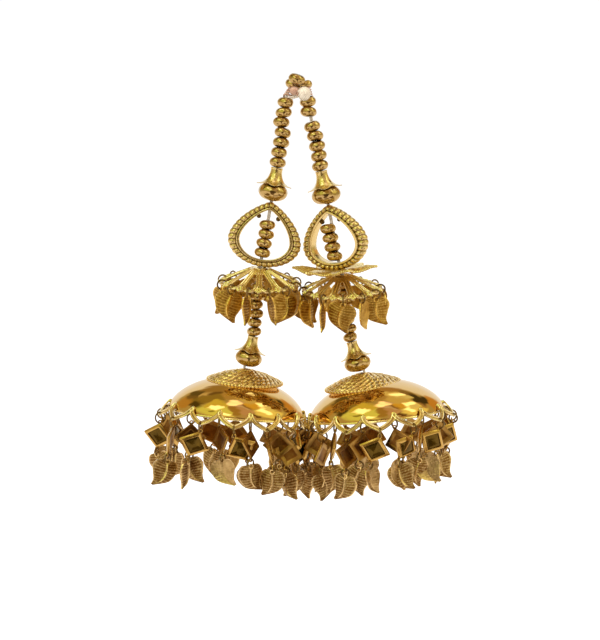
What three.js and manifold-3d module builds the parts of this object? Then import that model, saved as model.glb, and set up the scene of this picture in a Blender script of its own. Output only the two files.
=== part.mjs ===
// Kalira: two beaded strands on one knotted thread, each ending in a polished fringed dome.
// Millimetres, +Z up, +X from the left strand to the right one, -Y the front.
// The origin is the crown of the top bead, where the loop of thread hangs from a bangle.
import * as THREE from 'three';
import { mergeVertices } from 'three/addons/utils/BufferGeometryUtils.js';
import Module from 'manifold-3d';

const wasm = await Module();
wasm.setup();

// ---- driving dimensions ----
const deg = Math.PI / 180;
const gap = 0.3; // clearance between neighbouring pieces
const half = gap / 2;

const thread = { radius: 0.6, bore: 1.0, wideBore: 1.5, sides: 6 };
const upperBead = { radius: 4.0, height: 4.6, pitch: 4.9, count: 7 };
const innerBead = { radius: 3.7, height: 4.3, pitch: 4.6, count: 4, first: 11.6 };
const lowerBead = { radius: 3.6, height: 4.1, pitch: 4.4, count: 7 };
const beadSides = 8;

const upperCap = { collar: 3.0, waist: 2.8, tip: 8.35, height: 9.3, petals: 6, sides: 18 };
const lowerCap = { collar: 2.6, waist: 2.5, tip: 7.7, height: 8.5, petals: 6, sides: 18 };
const upperBall = { radius: 7.1, height: 9.3 };
const lowerBall = { radius: 6.5, height: 8.6 };
const ballSides = 12;

const teardrop = {
  outer: { half: 18, above: 19.7, below: 12.5 },
  inner: { half: 12.4, above: 15.6, below: 8.8 },
  depth: 6, point: 1.25, segments: 7,
};

const flower = {
  petals: 6, tip: 20.8, valley: 9.5, thickness: 1.0, seat: 2.1, drop: 0.95, turn: -12, level: -1.6,
};

const umbrella = {
  lobes: 12, hub: 3.2, rim: 19.7, valley: 17.4, wall: 1.0, forward: 7, lean: 2, seat: 3.8, drop: 0.8,
  strip: { radius: 18.75, drop: 7.3 },
};

const ring = { radius: 2.4, wire: 0.4, sides: 3, steps: 6, sit: 0.3 };
const stone = { corner: 6.4, face: 5.0, thickness: 2.4, back: 0.6 };
const leafThickness = 1.0;

const dome = {
  radius: 34, rim: 33.5, rimHeight: 14.6, wall: 1.0, hole: 3.5, sides: 28,
  roundness: [1.7, 0.7], // powers of its profile: near 2 and 0.5 it is an ellipse
  collarRise: 1.8, neck: 0.8,
};
const diskCap = { collar: 3.1, edge: 18.4, sides: 28 };
const lace = {
  petals: 14, tip: 38.5, fall: 4.0, thickness: 0.7, strip: 37.8,
  tucked: { flare: 0.68, fall: 1.8, lean: 4 }, // beside the other dome
};
const stopBead = { radius: 4.3, height: 4.2, tail: 6 };

// Each strand from the top down: length of each run along the thread and how far it leans
// outwards from the plumb line, in degrees. The dome rows are its cap's lean and its own.
const strands = {
  left: {
    side: -1, start: { x: -6.2, z: -11.7 }, looseBead: 0, ringTurn: 0, lobeTurn: 0, leafPhase: 0.4,
    runs: [
      { run: 'upperBeads', length: 34.3, lean: 7.5 },
      { run: 'upperCap', length: 16.9, lean: 9.5 },
      { run: 'teardrop', length: 32.2, lean: 10 },
      { run: 'umbrella', length: umbrella.seat, lean: 9 },
      { run: 'lowerBeads', length: 30.8, lean: 9 },
      { run: 'lowerCap', length: 15.6, lean: 12 },
    ],
    capLean: 9.2, domeLean: 9.2,
  },
  right: {
    side: 1, start: { x: 3.9, z: -11.3 }, looseBead: 2.4, ringTurn: -30, lobeTurn: 15, leafPhase: 2.1,
    runs: [
      { run: 'upperBeads', length: 36.7, lean: 10.8 },
      { run: 'upperCap', length: 16.9, lean: 12 },
      { run: 'teardrop', length: 32.2, lean: 10.5 },
      { run: 'flower', length: flower.seat, lean: 15 },
      { run: 'umbrella', length: umbrella.seat, lean: 15 },
      { run: 'lowerBeads', length: 30.8, lean: 15 },
      { run: 'lowerCap', length: 15.6, lean: 15.5 },
    ],
    capLean: 13.2, domeLean: 10,
  },
};

const polishedGold = new THREE.MeshStandardMaterial({ color: 0xd9a520, roughness: 0.12, metalness: 1 });
const antiqueGold = new THREE.MeshStandardMaterial({ color: 0xb98a34, roughness: 0.35, metalness: 1 });
const knotThread = new THREE.MeshStandardMaterial({ color: 0xe9e2d6, roughness: 0.6, metalness: 0 });

// ---- solids ----

// A closed three.js geometry as a solid, without the slivers that a pole leaves.
function solid(geometry, matrix) {
  const shape = geometry.clone();
  if (matrix) shape.applyMatrix4(matrix);
  for (const name of Object.keys(shape.attributes)) {
    if (name !== 'position') shape.deleteAttribute(name);
  }
  const merged = mergeVertices(shape, 1e-4);
  const index = merged.index.array;
  const triangles = [];
  for (let i = 0; i < index.length; i += 3) {
    const [a, b, c] = [index[i], index[i + 1], index[i + 2]];
    if (a !== b && b !== c && c !== a) triangles.push(a, b, c);
  }
  return new wasm.Manifold(new wasm.Mesh({
    numProp: 3,
    vertProperties: new Float32Array(merged.attributes.position.array),
    triVerts: new Uint32Array(triangles),
  }));
}

function join(solids) {
  return solids.reduce((whole, next) => whole.add(next));
}

function geometryOf(body) {
  const mesh = body.getMesh();
  const geometry = new THREE.BufferGeometry();
  geometry.setAttribute('position', new THREE.BufferAttribute(mesh.vertProperties, 3));
  geometry.setIndex(new THREE.BufferAttribute(mesh.triVerts, 1));
  return geometry;
}

const group = new THREE.Group();

function addPiece(name, body, material, matrix) {
  const mesh = new THREE.Mesh(geometryOf(body), material);
  mesh.name = name;
  if (matrix) matrix.decompose(mesh.position, mesh.quaternion, mesh.scale);
  group.add(mesh);
}

// A turned profile of [radius, height] pairs, standing on the Z axis.
function turned(profile, sides, closed = false) {
  const points = profile.map(([radius, height]) => new THREE.Vector2(radius, height));
  if (closed) points.push(points[0].clone());
  return new THREE.LatheGeometry(points, sides).rotateX(Math.PI / 2);
}

function extruded(shape, depth, curveSegments = 1) {
  return new THREE.ExtrudeGeometry(shape, { depth, bevelEnabled: false, curveSegments });
}

function outline(points) {
  return new THREE.Shape(points.map(([x, y]) => new THREE.Vector2(x, y)));
}

// An oblate bead on the Z axis: half an ellipse, turned.
function beadGeometry(radius, height, sides = beadSides, steps = 5) {
  const profile = [];
  for (let i = 0; i <= steps; i += 1) {
    const angle = -Math.PI / 2 + (Math.PI * i) / steps;
    profile.push([Math.abs(Math.cos(angle)) < 1e-9 ? 0 : radius * Math.cos(angle),
      (height / 2) * Math.sin(angle)]);
  }
  return turned(profile, sides);
}

function rod(from, to, radius, sides = thread.sides) {
  const length = from.distanceTo(to);
  const cylinder = new THREE.CylinderGeometry(radius, radius, length, sides);
  const up = new THREE.Vector3(0, 1, 0);
  const turn = new THREE.Quaternion().setFromUnitVectors(up, to.clone().sub(from).normalize());
  const middle = from.clone().add(to).multiplyScalar(0.5);
  return solid(cylinder, new THREE.Matrix4().compose(middle, turn, new THREE.Vector3(1, 1, 1)));
}

function point(x, y, z) {
  return new THREE.Vector3(x, y, z);
}

// ---- where each run lies ----

function leaning(x, z, turn) {
  return new THREE.Matrix4().makeTranslation(x, 0, z).multiply(new THREE.Matrix4().makeRotationY(turn));
}

function layOut(strand) {
  const frames = {};
  let { x, z } = strand.start;
  for (const { run, length, lean } of strand.runs) {
    frames[run] = { matrix: leaning(x, z, -strand.side * lean * deg), length };
    x += strand.side * Math.sin(lean * deg) * length;
    z -= Math.cos(lean * deg) * length;
  }
  frames.end = { x, z };
  return frames;
}

// The point that lies a distance down a run, on its thread.
function along(frame, down) {
  return point(0, 0, -down).applyMatrix4(frame.matrix);
}

function threadRod(frame, fromDown, toDown) {
  return rod(along(frame, fromDown), along(frame, toDown), thread.radius);
}

// The outline of one bead on its thread, as shares of its half height and radius.
const beadOutline = [[-0.7, 0.78], [0, 1], [0.7, 0.78]];

// Beads joined along their thread, from one distance down the run to another.
function beadString(frame, bead, centres, fromDown, toDown) {
  const profile = [[0, -toDown], [thread.radius, -toDown]];
  for (const down of [...centres].reverse()) {
    const reach = bead.height / 2;
    profile.push([thread.radius, -down - reach]);
    for (const [height, radius] of beadOutline) {
      profile.push([bead.radius * radius, -down + reach * height]);
    }
    profile.push([thread.radius, -down + reach]);
  }
  profile.push([thread.radius, -fromDown], [0, -fromDown]);
  return solid(turned(profile, beadSides), frame.matrix);
}

function centresOf(bead, first, extraAfterSecond = 0) {
  return Array.from({ length: bead.count },
    (_, i) => first + i * bead.pitch + (i > 1 ? extraAfterSecond : 0));
}

// ---- pieces that are turned or cut ----

// A trumpet-shaped bead cap with pointed petals round its skirt.
function beadCap({ collar, waist, tip, height, petals, sides }) {
  const scale = height / upperCap.height; // the lower cap is the same shape, drawn smaller
  const skirt = 4.7 * scale;
  const profile = [
    [thread.bore, -7.0 * scale],
    [4.4 * scale, -7.95 * scale],
    [6.3 * scale, -9.1 * scale],
    [tip, -height],
    [6.3 * scale, -8.4 * scale],
    [skirt, -7.0 * scale],
    [3.5 * scale, -5.2 * scale],
    [waist, -2.8 * scale],
    [collar, -half],
    [thread.bore, -half],
  ];
  const geometry = turned(profile, sides, true);
  const position = geometry.attributes.position;
  const bite = 3.4 * scale; // how far the skirt is cut back between two petals
  for (let i = 0; i < position.count; i += 1) {
    const radius = Math.hypot(position.getX(i), position.getY(i));
    if (radius > skirt + 0.01) {
      const angle = Math.atan2(position.getY(i), position.getX(i)) + Math.PI / 2;
      const petal = Math.abs(Math.cos((petals * angle) / 2));
      const pulled = radius - (bite * (1 - petal) * (radius - skirt)) / (tip - skirt);
      position.setX(i, (position.getX(i) * pulled) / radius);
      position.setY(i, (position.getY(i) * pulled) / radius);
    }
  }
  return solid(geometry);
}

function boredBall({ radius, height }) {
  const steps = 6;
  const start = Math.acos(thread.bore / radius);
  const profile = [];
  for (let i = 0; i <= steps; i += 1) {
    const angle = -start + (2 * start * i) / steps;
    profile.push([radius * Math.cos(angle), (height / 2) * Math.sin(angle)]);
  }
  return solid(turned(profile, ballSides, true));
}

// Half of the drop's outline runs from its foot up to its point; the other half mirrors it.
function dropOutline({ half: width, above, below }, centre) {
  const right = [];
  for (let i = 0; i <= teardrop.segments; i += 1) {
    const angle = -Math.PI / 2 + (Math.PI / 2) * (i / teardrop.segments);
    right.push([width * Math.cos(angle), centre + below * Math.sin(angle)]);
  }
  for (let i = 1; i < teardrop.segments; i += 1) {
    const angle = (Math.PI / 2) * (i / teardrop.segments);
    right.push([width * Math.cos(angle) ** teardrop.point, centre + above * Math.sin(angle)]);
  }
  right[0][0] = 0;
  const left = right.slice(1).reverse().map(([x, z]) => [-x, z]);
  return [...right, [0, centre + above], ...left];
}

function teardropRing() {
  const centre = -teardrop.outer.above - half;
  const shape = outline(dropOutline(teardrop.outer, centre));
  shape.holes.push(outline(dropOutline(teardrop.inner, centre)));
  const band = extruded(shape, teardrop.depth).rotateX(Math.PI / 2).translate(0, teardrop.depth / 2, 0);
  const bore = rod(point(0, 0, 2), point(0, 0, -40), thread.bore);
  return solid(band).subtract(bore);
}

function flowerDisk() {
  const { petals, tip, valley, thickness } = flower;
  const shape = new THREE.Shape();
  for (let i = 0; i < petals; i += 1) {
    const turn = (i * 2 * Math.PI) / petals;
    const step = Math.PI / petals;
    const at = (radius, angle) => [radius * Math.cos(angle), radius * Math.sin(angle)];
    if (i === 0) shape.moveTo(...at(valley, turn - step));
    shape.quadraticCurveTo(...at(tip * 0.86, turn - step * 0.62), ...at(tip, turn));
    shape.quadraticCurveTo(...at(tip * 0.86, turn + step * 0.62), ...at(valley, turn + step));
  }
  const plate = solid(extruded(shape, thickness, 3).translate(0, 0, -thickness - half));
  return plate.subtract(rod(point(0, 0, 2), point(0, 0, -4), thread.wideBore));
}

// A polygon in plan from rows of [radius, angle in degrees], repeated round the axis.
function roundOutline(rows, count, startAngle) {
  const points = [];
  for (let i = 0; i < count; i += 1) {
    for (const [radius, angle] of rows) {
      const turn = (startAngle + (360 * i) / count + angle) * deg;
      points.push([radius * Math.cos(turn), radius * Math.sin(turn)]);
    }
  }
  return points;
}

// A window in plan from rows of [radius, half width], mirrored about the spoke at an angle.
function windowOutline(rows, angle) {
  const flank = [...rows, ...rows.filter(([, width]) => width > 0).reverse().map(([r, w]) => [r, -w])];
  const [c, s] = [Math.cos(angle * deg), Math.sin(angle * deg)];
  return flank.map(([radius, width]) => [radius * c - width * s, radius * s + width * c]);
}

function prism(points, low, high) {
  return solid(extruded(outline(points), high - low).translate(0, 0, low));
}

// The openwork umbrella cap: a shallow cone with a petal-shaped window over each rim lobe.
function umbrellaCap() {
  const { lobes, hub, rim, valley, wall } = umbrella;
  const reach = rim / Math.cos(Math.PI / lobes) + 0.4;
  const top = [[thread.wideBore, -half], [hub, -half], [10, -3.0], [reach, -7.4]];
  const under = top.map(([radius, height]) => [radius, height - wall]);
  const cone = solid(turned([...under, ...top.reverse()], lobes, true));
  const step = 360 / lobes;
  const rows = [[valley, -step / 2], [rim, -step * 0.18], [rim, step * 0.18]];
  let cap = cone.intersect(prism(roundOutline(rows, lobes, step / 2), -20, 5));
  const windowRows = [[6.6, 0.7], [15.2, 2.9], [17.9, 1.7]];
  for (let i = 0; i < lobes; i += 1) {
    cap = cap.subtract(prism(windowOutline(windowRows, step * (i + 0.5)), -20, 5));
  }
  return cap;
}

const leafRows = [
  { across: 0.0, down: 0.0 }, { across: 4.6, down: 0.6 }, { across: 6.6, down: 4.0 },
  { across: 4.6, down: 9.2 }, { across: -3.3, down: 13.8 }, { across: -4.9, down: 9.6 },
  { across: -6.5, down: 5.0 }, { across: -4.3, down: 0.9 },
];

// A leaf charm hanging from the origin, its face to +X, its tip swept towards one side.
function leafGeometry(mirrored) {
  const sign = mirrored ? -1 : 1;
  const points = leafRows.map(({ across, down }) => [sign * across, -down]);
  if (mirrored) points.reverse();
  return extruded(outline(points), leafThickness)
    .translate(0, 0, -leafThickness / 2)
    .rotateX(Math.PI / 2)
    .rotateZ(Math.PI / 2);
}

function jumpRing() {
  return new THREE.TorusGeometry(ring.radius, ring.wire, ring.sides, ring.steps)
    .rotateZ(Math.PI / 2)
    .rotateX(Math.PI / 2);
}

function lowered(down, turn = 0) {
  const turning = new THREE.Matrix4().makeRotationZ(turn * deg);
  return new THREE.Matrix4().makeTranslation(0, 0, -down).multiply(turning);
}

// Jump ring, square stone setting hung by a corner, jump ring and leaf, from the origin down.
function stoneDrop(stoneTurn, leafTurn, mirrored) {
  const stoneDown = ring.radius - 0.3 + stone.corner;
  const secondRing = stoneDown + stone.corner + ring.radius - 0.5;
  const setting = new THREE.CylinderGeometry(stone.face, stone.corner, stone.thickness, 4)
    .rotateZ(-Math.PI / 2)
    .translate(stone.thickness / 2 - stone.back, 0, 0);
  return join([
    solid(jumpRing()),
    solid(setting, lowered(stoneDown, stoneTurn)),
    solid(jumpRing(), lowered(secondRing, leafTurn * 0.5)),
    solid(leafGeometry(mirrored), lowered(secondRing + ring.radius - 0.3, leafTurn)),
  ]);
}

// ---- the dome and what sits on it, from a point on its axis below the rim ----

// From the hole at the crown out to the rim. The share of its height that the dome has left is
// 1 less a power of the share of the way out, all to another power.
function domeProfile(crown, rim) {
  const [inner, outer] = dome.roundness;
  const shares = [0, 0.2, 0.42, 0.64, 0.82, 0.94, 1];
  return shares.map((share) => {
    const radius = dome.hole + (rim - dome.hole) * share;
    const left = Math.max(0, 1 - (radius / rim) ** inner) ** outer;
    return [radius, dome.rimHeight + (crown - dome.rimHeight) * left];
  });
}

// 1 on the side that faces the other dome, 0 on the far side.
function facing(angle) {
  return ((1 + Math.cos(angle)) / 2) ** 2;
}

// The lace flares less and hangs lower on the side that faces the other dome.
function laceFlare(radius, height, angle) {
  const out = Math.max(0, radius - dome.rim);
  const share = out / (lace.tip - dome.rim);
  const { flare, fall } = lace.tucked;
  const tucked = facing(angle);
  return [Math.min(radius, dome.rim) + out * (1 - flare * tucked), height - share * fall * tucked];
}

function laceHeight(radius) {
  return dome.rimHeight + 0.5 - (lace.fall * (radius - dome.rim)) / (lace.tip - dome.rim);
}

function domeWithLace() {
  const outer = domeProfile(dome.radius, dome.rim);
  const inner = domeProfile(dome.radius - dome.wall, dome.rim - dome.wall * 1.1);
  const shell = solid(turned([...outer, ...inner.reverse()].reverse(), dome.sides, true));
  const reach = lace.tip + 1;
  const root = dome.rim - 0.7;
  const band = [[root, laceHeight(root)], [reach, laceHeight(reach)],
    [reach, laceHeight(reach) - lace.thickness], [root, laceHeight(root) - lace.thickness]];
  const step = 360 / lace.petals;
  const rows = [[dome.rim + 0.3, -step / 2], [37.2, -step * 0.22], [lace.tip, 0], [37.2, step * 0.22]];
  let edge = solid(turned([...band].reverse(), dome.sides, true));
  edge = edge.intersect(prism(roundOutline(rows, lace.petals, step / 2), 0, 30));
  const windowRows = [[dome.rim + 0.5, 4.2], [36.4, 2.0], [37.1, 0]];
  for (let i = 0; i < lace.petals; i += 1) {
    edge = edge.subtract(prism(windowOutline(windowRows, step * (i + 0.5)), 0, 30));
  }
  const geometry = geometryOf(shell.add(edge));
  const position = geometry.attributes.position;
  for (let i = 0; i < position.count; i += 1) {
    const [x, y] = [position.getX(i), position.getY(i)];
    const radius = Math.hypot(x, y);
    if (radius > dome.rim + 0.05) {
      const [flared, height] = laceFlare(radius, position.getZ(i), Math.atan2(y, x));
      position.setXYZ(i, (x * flared) / radius, (y * flared) / radius, height);
    }
  }
  return solid(geometry);
}

function diskCapBody() {
  const crown = dome.radius;
  const profile = [
    [thread.bore, crown + 0.6],
    [10, crown - 0.87],
    [diskCap.edge, crown - 4.87],
    [diskCap.edge + 0.2, crown - 4.0],
    [10, crown - 0.25],
    [diskCap.collar + 0.3, crown + 1.1],
    [diskCap.collar, crown + dome.collarRise],
    [thread.bore, crown + dome.collarRise],
  ];
  return solid(turned(profile, diskCap.sides, true));
}

// ---- assembly ----

function addStrand(name, strand) {
  const frames = layOut(strand);
  const { side } = strand;
  const upper = frames.upperBeads;
  const upperCentres = centresOf(upperBead, upperBead.pitch / 2, strand.looseBead);
  addPiece(`${name}_upper_beads`, join([
    beadString(upper, upperBead, upperCentres, half, upper.length + 0.2),
    threadRod(frames.upperCap, 0, frames.upperCap.length),
    threadRod(frames.teardrop, 0, 2),
  ]), antiqueGold);

  addPiece(`${name}_upper_cap`, beadCap(upperCap), antiqueGold, frames.upperCap.matrix);
  const upperBallSeat = frames.upperCap.length - half - upperBall.height / 2;
  addPiece(`${name}_upper_ball`, boredBall(upperBall), antiqueGold,
    frames.upperCap.matrix.clone().multiply(lowered(upperBallSeat)));

  const ringMatrix = frames.teardrop.matrix.clone().multiply(lowered(0, strand.ringTurn));
  addPiece(`${name}_teardrop`, teardropRing(), antiqueGold, ringMatrix);

  const innerEnd = frames.teardrop.length;
  const innerCentres = centresOf(innerBead, innerBead.first);
  const innerParts = [beadString(frames.teardrop, innerBead, innerCentres, 2 + gap, innerEnd + 0.2)];
  if (frames.flower) innerParts.push(threadRod(frames.flower, 0, flower.seat));
  innerParts.push(threadRod(frames.umbrella, 0, 1.2));
  addPiece(`${name}_inner_beads`, join(innerParts), antiqueGold);

  if (frames.flower) {
    const seat = along(frames.flower, flower.drop);
    const level = leaning(seat.x, seat.z, -flower.level * deg).multiply(lowered(0, flower.turn));
    addPiece('flower_disk', flowerDisk(), antiqueGold, level);
  }

  const hubSeat = along(frames.umbrella, umbrella.drop);
  const hub = leaning(hubSeat.x, hubSeat.z, -side * umbrella.lean * deg);
  hub.multiply(new THREE.Matrix4().makeRotationX(umbrella.forward * deg));
  hub.multiply(new THREE.Matrix4().makeRotationZ(strand.lobeTurn * deg));
  addPiece(`${name}_umbrella`, umbrellaCap(), antiqueGold, hub);
  addPiece(`${name}_umbrella_leaves`, umbrellaLeaves(hub, strand), antiqueGold);

  const lowerCentres = centresOf(lowerBead, lowerBead.pitch / 2);
  addPiece(`${name}_lower_beads`, join([
    threadRod(frames.umbrella, 1.2 + gap, frames.umbrella.length + 0.1),
    beadString(frames.lowerBeads, lowerBead, lowerCentres, 0, frames.lowerBeads.length + 0.2),
    threadRod(frames.lowerCap, 0, frames.lowerCap.length - half),
  ]), antiqueGold);
  addPiece(`${name}_lower_cap`, beadCap(lowerCap), antiqueGold, frames.lowerCap.matrix);
  const lowerBallSeat = frames.lowerCap.length - half - lowerBall.height / 2;
  addPiece(`${name}_lower_ball`, boredBall(lowerBall), antiqueGold,
    frames.lowerCap.matrix.clone().multiply(lowered(lowerBallSeat)));

  addDome(name, side, frames.end, strand);
}

// Twelve leaves on jump rings round the umbrella's rim; each leaf touches the next, and
// those beside the other strand hang square to it.
function umbrellaLeaves(hub, { side, lobeTurn, leafPhase }) {
  const step = 360 / umbrella.lobes;
  const parts = [];
  for (let i = 0; i < umbrella.lobes; i += 1) {
    const angle = (i + 0.5) * step;
    const seat = point(umbrella.strip.radius * Math.cos(angle * deg),
      umbrella.strip.radius * Math.sin(angle * deg), -umbrella.strip.drop).applyMatrix4(hub);
    const matrix = new THREE.Matrix4().makeTranslation(seat.x, seat.y, seat.z - ring.sit);
    matrix.multiply(new THREE.Matrix4().makeRotationZ((angle + lobeTurn) * deg));
    const away = THREE.MathUtils.euclideanModulo(angle + lobeTurn + (side > 0 ? 0 : 180), 360) - 180;
    const beside = Math.abs(away) < 20;
    const turn = beside ? -away : 10 * Math.sin(1.9 * i + leafPhase);
    parts.push(solid(jumpRing(), matrix));
    parts.push(solid(leafGeometry(i % 2 === 1), matrix.clone().multiply(lowered(ring.radius - 0.3, turn))));
  }
  return join(parts);
}

function addDome(name, side, end, strand) {
  const capTilt = -side * strand.capLean * deg;
  const centreDown = dome.neck - half + dome.collarRise + dome.radius;
  const centre = point(0, 0, -centreDown).applyMatrix4(leaning(end.x, end.z, capTilt));
  const capMatrix = leaning(centre.x, centre.z, capTilt);
  addPiece(`${name}_disk_cap`, diskCapBody(), antiqueGold, capMatrix);

  // Local +X of a dome faces the other dome.
  const inwards = new THREE.Matrix4().makeRotationZ(side > 0 ? Math.PI : 0);
  const domeMatrix = leaning(centre.x, centre.z, -side * strand.domeLean * deg).multiply(inwards);
  addPiece(`${name}_dome`, domeWithLace(), polishedGold, domeMatrix);

  const crownDown = dome.radius - dome.wall - gap - stopBead.height / 2;
  const top = point(0, 0, dome.radius + dome.collarRise + 0.2);
  const seat = point(0, 0, crownDown);
  const seatMatrix = new THREE.Matrix4().makeTranslation(0, 0, crownDown);
  addPiece(`${name}_stop_bead`, join([
    solid(beadGeometry(stopBead.radius, stopBead.height), seatMatrix),
    rod(top, seat, thread.radius),
    rod(seat, point(0, 0, crownDown - stopBead.height / 2 - stopBead.tail), thread.radius),
  ]), antiqueGold, capMatrix);

  const step = 360 / lace.petals;
  for (let i = 0; i < lace.petals; i += 1) {
    const angle = (i + 0.5) * step * deg;
    const height = laceHeight(lace.strip) - lace.thickness / 2;
    const [radius, low] = laceFlare(lace.strip, height, angle);
    const eye = point(radius * Math.cos(angle), radius * Math.sin(angle), low).applyMatrix4(domeMatrix);
    const worldAngle = angle + (side > 0 ? Math.PI : 0);
    const matrix = new THREE.Matrix4().makeTranslation(eye.x, eye.y, eye.z - ring.sit);
    matrix.multiply(new THREE.Matrix4().makeRotationZ(worldAngle));
    matrix.multiply(new THREE.Matrix4().makeRotationY(lace.tucked.lean * facing(angle) * deg));
    const free = Math.abs(Math.sin(angle / 2)); // 0 beside the other dome, 1 on the far side
    const stoneTurn = 24 * free * Math.sin(2.3 * i + strand.leafPhase);
    const leafTurn = 62 * free * Math.sin(1.7 * i + 2 * strand.leafPhase);
    const number = String(i + 1).padStart(2, '0');
    addPiece(`${name}_drop_${number}`, stoneDrop(stoneTurn, leafTurn, i % 2 === 0), antiqueGold, matrix);
  }
}

function addTop() {
  const seats = [
    { x: -1.0, y: -1.6, z: -2.6, tilt: 12 },
    { x: 4.4, y: 2.6, z: -4.2, tilt: -20 },
    { x: -5.0, y: 2.6, z: -5.4, tilt: 18 },
  ];
  const beads = seats.map(({ x, y, z, tilt }) => {
    const matrix = new THREE.Matrix4().makeTranslation(x, y, z);
    matrix.multiply(new THREE.Matrix4().makeRotationY(tilt * deg));
    return solid(beadGeometry(4.1, 4.9), matrix);
  });
  const [first, second, third] = seats.map(({ x, y, z }) => point(x, y, z));
  beads.push(rod(first, second, thread.radius), rod(first, third, thread.radius));
  addPiece('top_beads', join(beads), antiqueGold);
  const heart = point(1.9, -1.8, -8.4);
  const lump = beadGeometry(3.0, 5.0, 8, 6).scale(1, 0.85, 1);
  addPiece('top_knot', join([
    solid(lump, new THREE.Matrix4().makeTranslation(heart.x, heart.y, heart.z)),
    rod(heart, point(-5.2, 0.4, -9.6), 0.8),
    rod(point(-4.9, 0.6, -8.9), point(-6.1, 0, -11.2), 1.1),
    rod(heart, point(4.9, 1.0, -8.6), 0.8),
    rod(point(5.0, 1.2, -7.6), point(4.0, 0.2, -10.7), 1.0),
  ]), knotThread);
}

addTop();
for (const [name, strand] of Object.entries(strands)) addStrand(name, strand);

export default group;
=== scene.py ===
import bmesh
import bpy
import numpy as np
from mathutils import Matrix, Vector


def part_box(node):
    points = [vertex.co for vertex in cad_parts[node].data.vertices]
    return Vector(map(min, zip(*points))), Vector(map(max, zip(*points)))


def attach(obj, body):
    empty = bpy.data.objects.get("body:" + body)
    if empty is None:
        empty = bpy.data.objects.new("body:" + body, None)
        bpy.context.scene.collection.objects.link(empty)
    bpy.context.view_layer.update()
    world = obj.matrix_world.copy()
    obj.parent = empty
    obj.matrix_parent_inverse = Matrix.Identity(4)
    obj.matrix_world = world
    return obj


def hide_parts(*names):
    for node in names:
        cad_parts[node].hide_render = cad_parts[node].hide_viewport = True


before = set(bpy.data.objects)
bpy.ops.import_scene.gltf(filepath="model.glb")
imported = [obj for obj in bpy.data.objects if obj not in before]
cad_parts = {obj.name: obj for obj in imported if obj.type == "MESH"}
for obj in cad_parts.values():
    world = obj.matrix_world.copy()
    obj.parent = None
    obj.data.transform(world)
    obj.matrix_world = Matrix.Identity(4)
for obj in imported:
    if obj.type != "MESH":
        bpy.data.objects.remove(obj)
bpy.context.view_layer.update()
mm = 0.001  # shapes are worked out in millimetres and stored in metres
up = np.array([0.0, 0.0, 1.0])
front = np.array([0.0, -1.0, 0.0])
print("frame loaded:", len(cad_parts), "nodes")


# Each vector divided by its own length.
def unit(vectors):
    return vectors / np.maximum(np.linalg.norm(vectors, axis=-1, keepdims=True), 1e-9)


# Even angles right round, the last one a step short of the first.
def roundAngles(count):
    return np.linspace(0, 2 * np.pi, count, endpoint=False)


# Points round z: radius times the cosine and the sine of the angle, at a height.
def around(radius, angle, height):
    return np.stack(np.broadcast_arrays(radius * np.cos(angle), radius * np.sin(angle), height), -1)


# Quads of a grid whose points are numbered row by row. Columns always join up; rows may.
def gridQuads(rows, columns, wrapRows):
    row, column = np.meshgrid(np.arange(rows if wrapRows else rows - 1), np.arange(columns), indexing="ij")
    nextRow, nextColumn = (row + 1) % rows, (column + 1) % columns
    return np.stack([row * columns + column, row * columns + nextColumn,
                     nextRow * columns + nextColumn, nextRow * columns + column], -1).reshape(-1, 4)


# A closed part: points, quads turned outwards by the sign of the enclosed volume, and the relief of
# each point, from 0 in a crevice to 1 on a crest.
def closedPart(grid, relief=1.0, wrapRows=False):
    rows, columns = grid.shape[:2]
    points = grid.reshape(-1, 3)
    quads = gridQuads(rows, columns, wrapRows)
    a, b, c, d = (points[quads[:, i]] - points.mean(0) for i in range(4))
    volume = (a * np.cross(b, c)).sum() + (a * np.cross(c, d)).sum()
    if volume < 0:
        quads = quads[:, ::-1]
    return points, quads, np.broadcast_to(relief, (rows, columns)).ravel()


# A profile of (radius, height) carried round the axis.
def turnedGrid(profile, sides):
    profile = np.asarray(profile, float)
    return around(profile[:, :1], roundAngles(sides), profile[:, 1:])


# Half an ellipse from top to bottom: the radius is a power of a sine, the height a cosine.
def halfEllipse(radius, height, steps, fullness=1.0):
    down = np.linspace(0, np.pi, steps)
    return np.stack([radius * np.sin(down) ** fullness, height * np.cos(down)], -1)


# A smooth curve through the knots (Catmull-Rom), read at shares 0 to 1 of the way along.
def smoothThrough(knots, shares):
    knots = np.asarray(knots, float)
    at = np.clip(np.asarray(shares, float) * (len(knots) - 1), 0, len(knots) - 1 - 1e-9)
    first, t = at.astype(int), (at % 1)[..., None]
    padded = np.vstack([2 * knots[0] - knots[1], knots, 2 * knots[-1] - knots[-2]])
    a, b, c, d = (padded[first + k] for k in range(4))
    bend, twist = 2 * a - 5 * b + 4 * c - d, 3 * b - a - 3 * c + d
    return 0.5 * (2 * b + (c - a) * t + bend * t ** 2 + twist * t ** 3)


# The same line with its points spread evenly along its length.
def evenly(path, count, closed=False):
    line = np.vstack([path, path[:1]]) if closed else path
    length = np.concatenate([[0], np.cumsum(np.linalg.norm(np.diff(line, axis=0), axis=1))])
    wanted = np.linspace(0, length[-1], count, endpoint=not closed)
    return np.stack([np.interp(wanted, length, line[:, k]) for k in range(line.shape[1])], -1)


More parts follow.
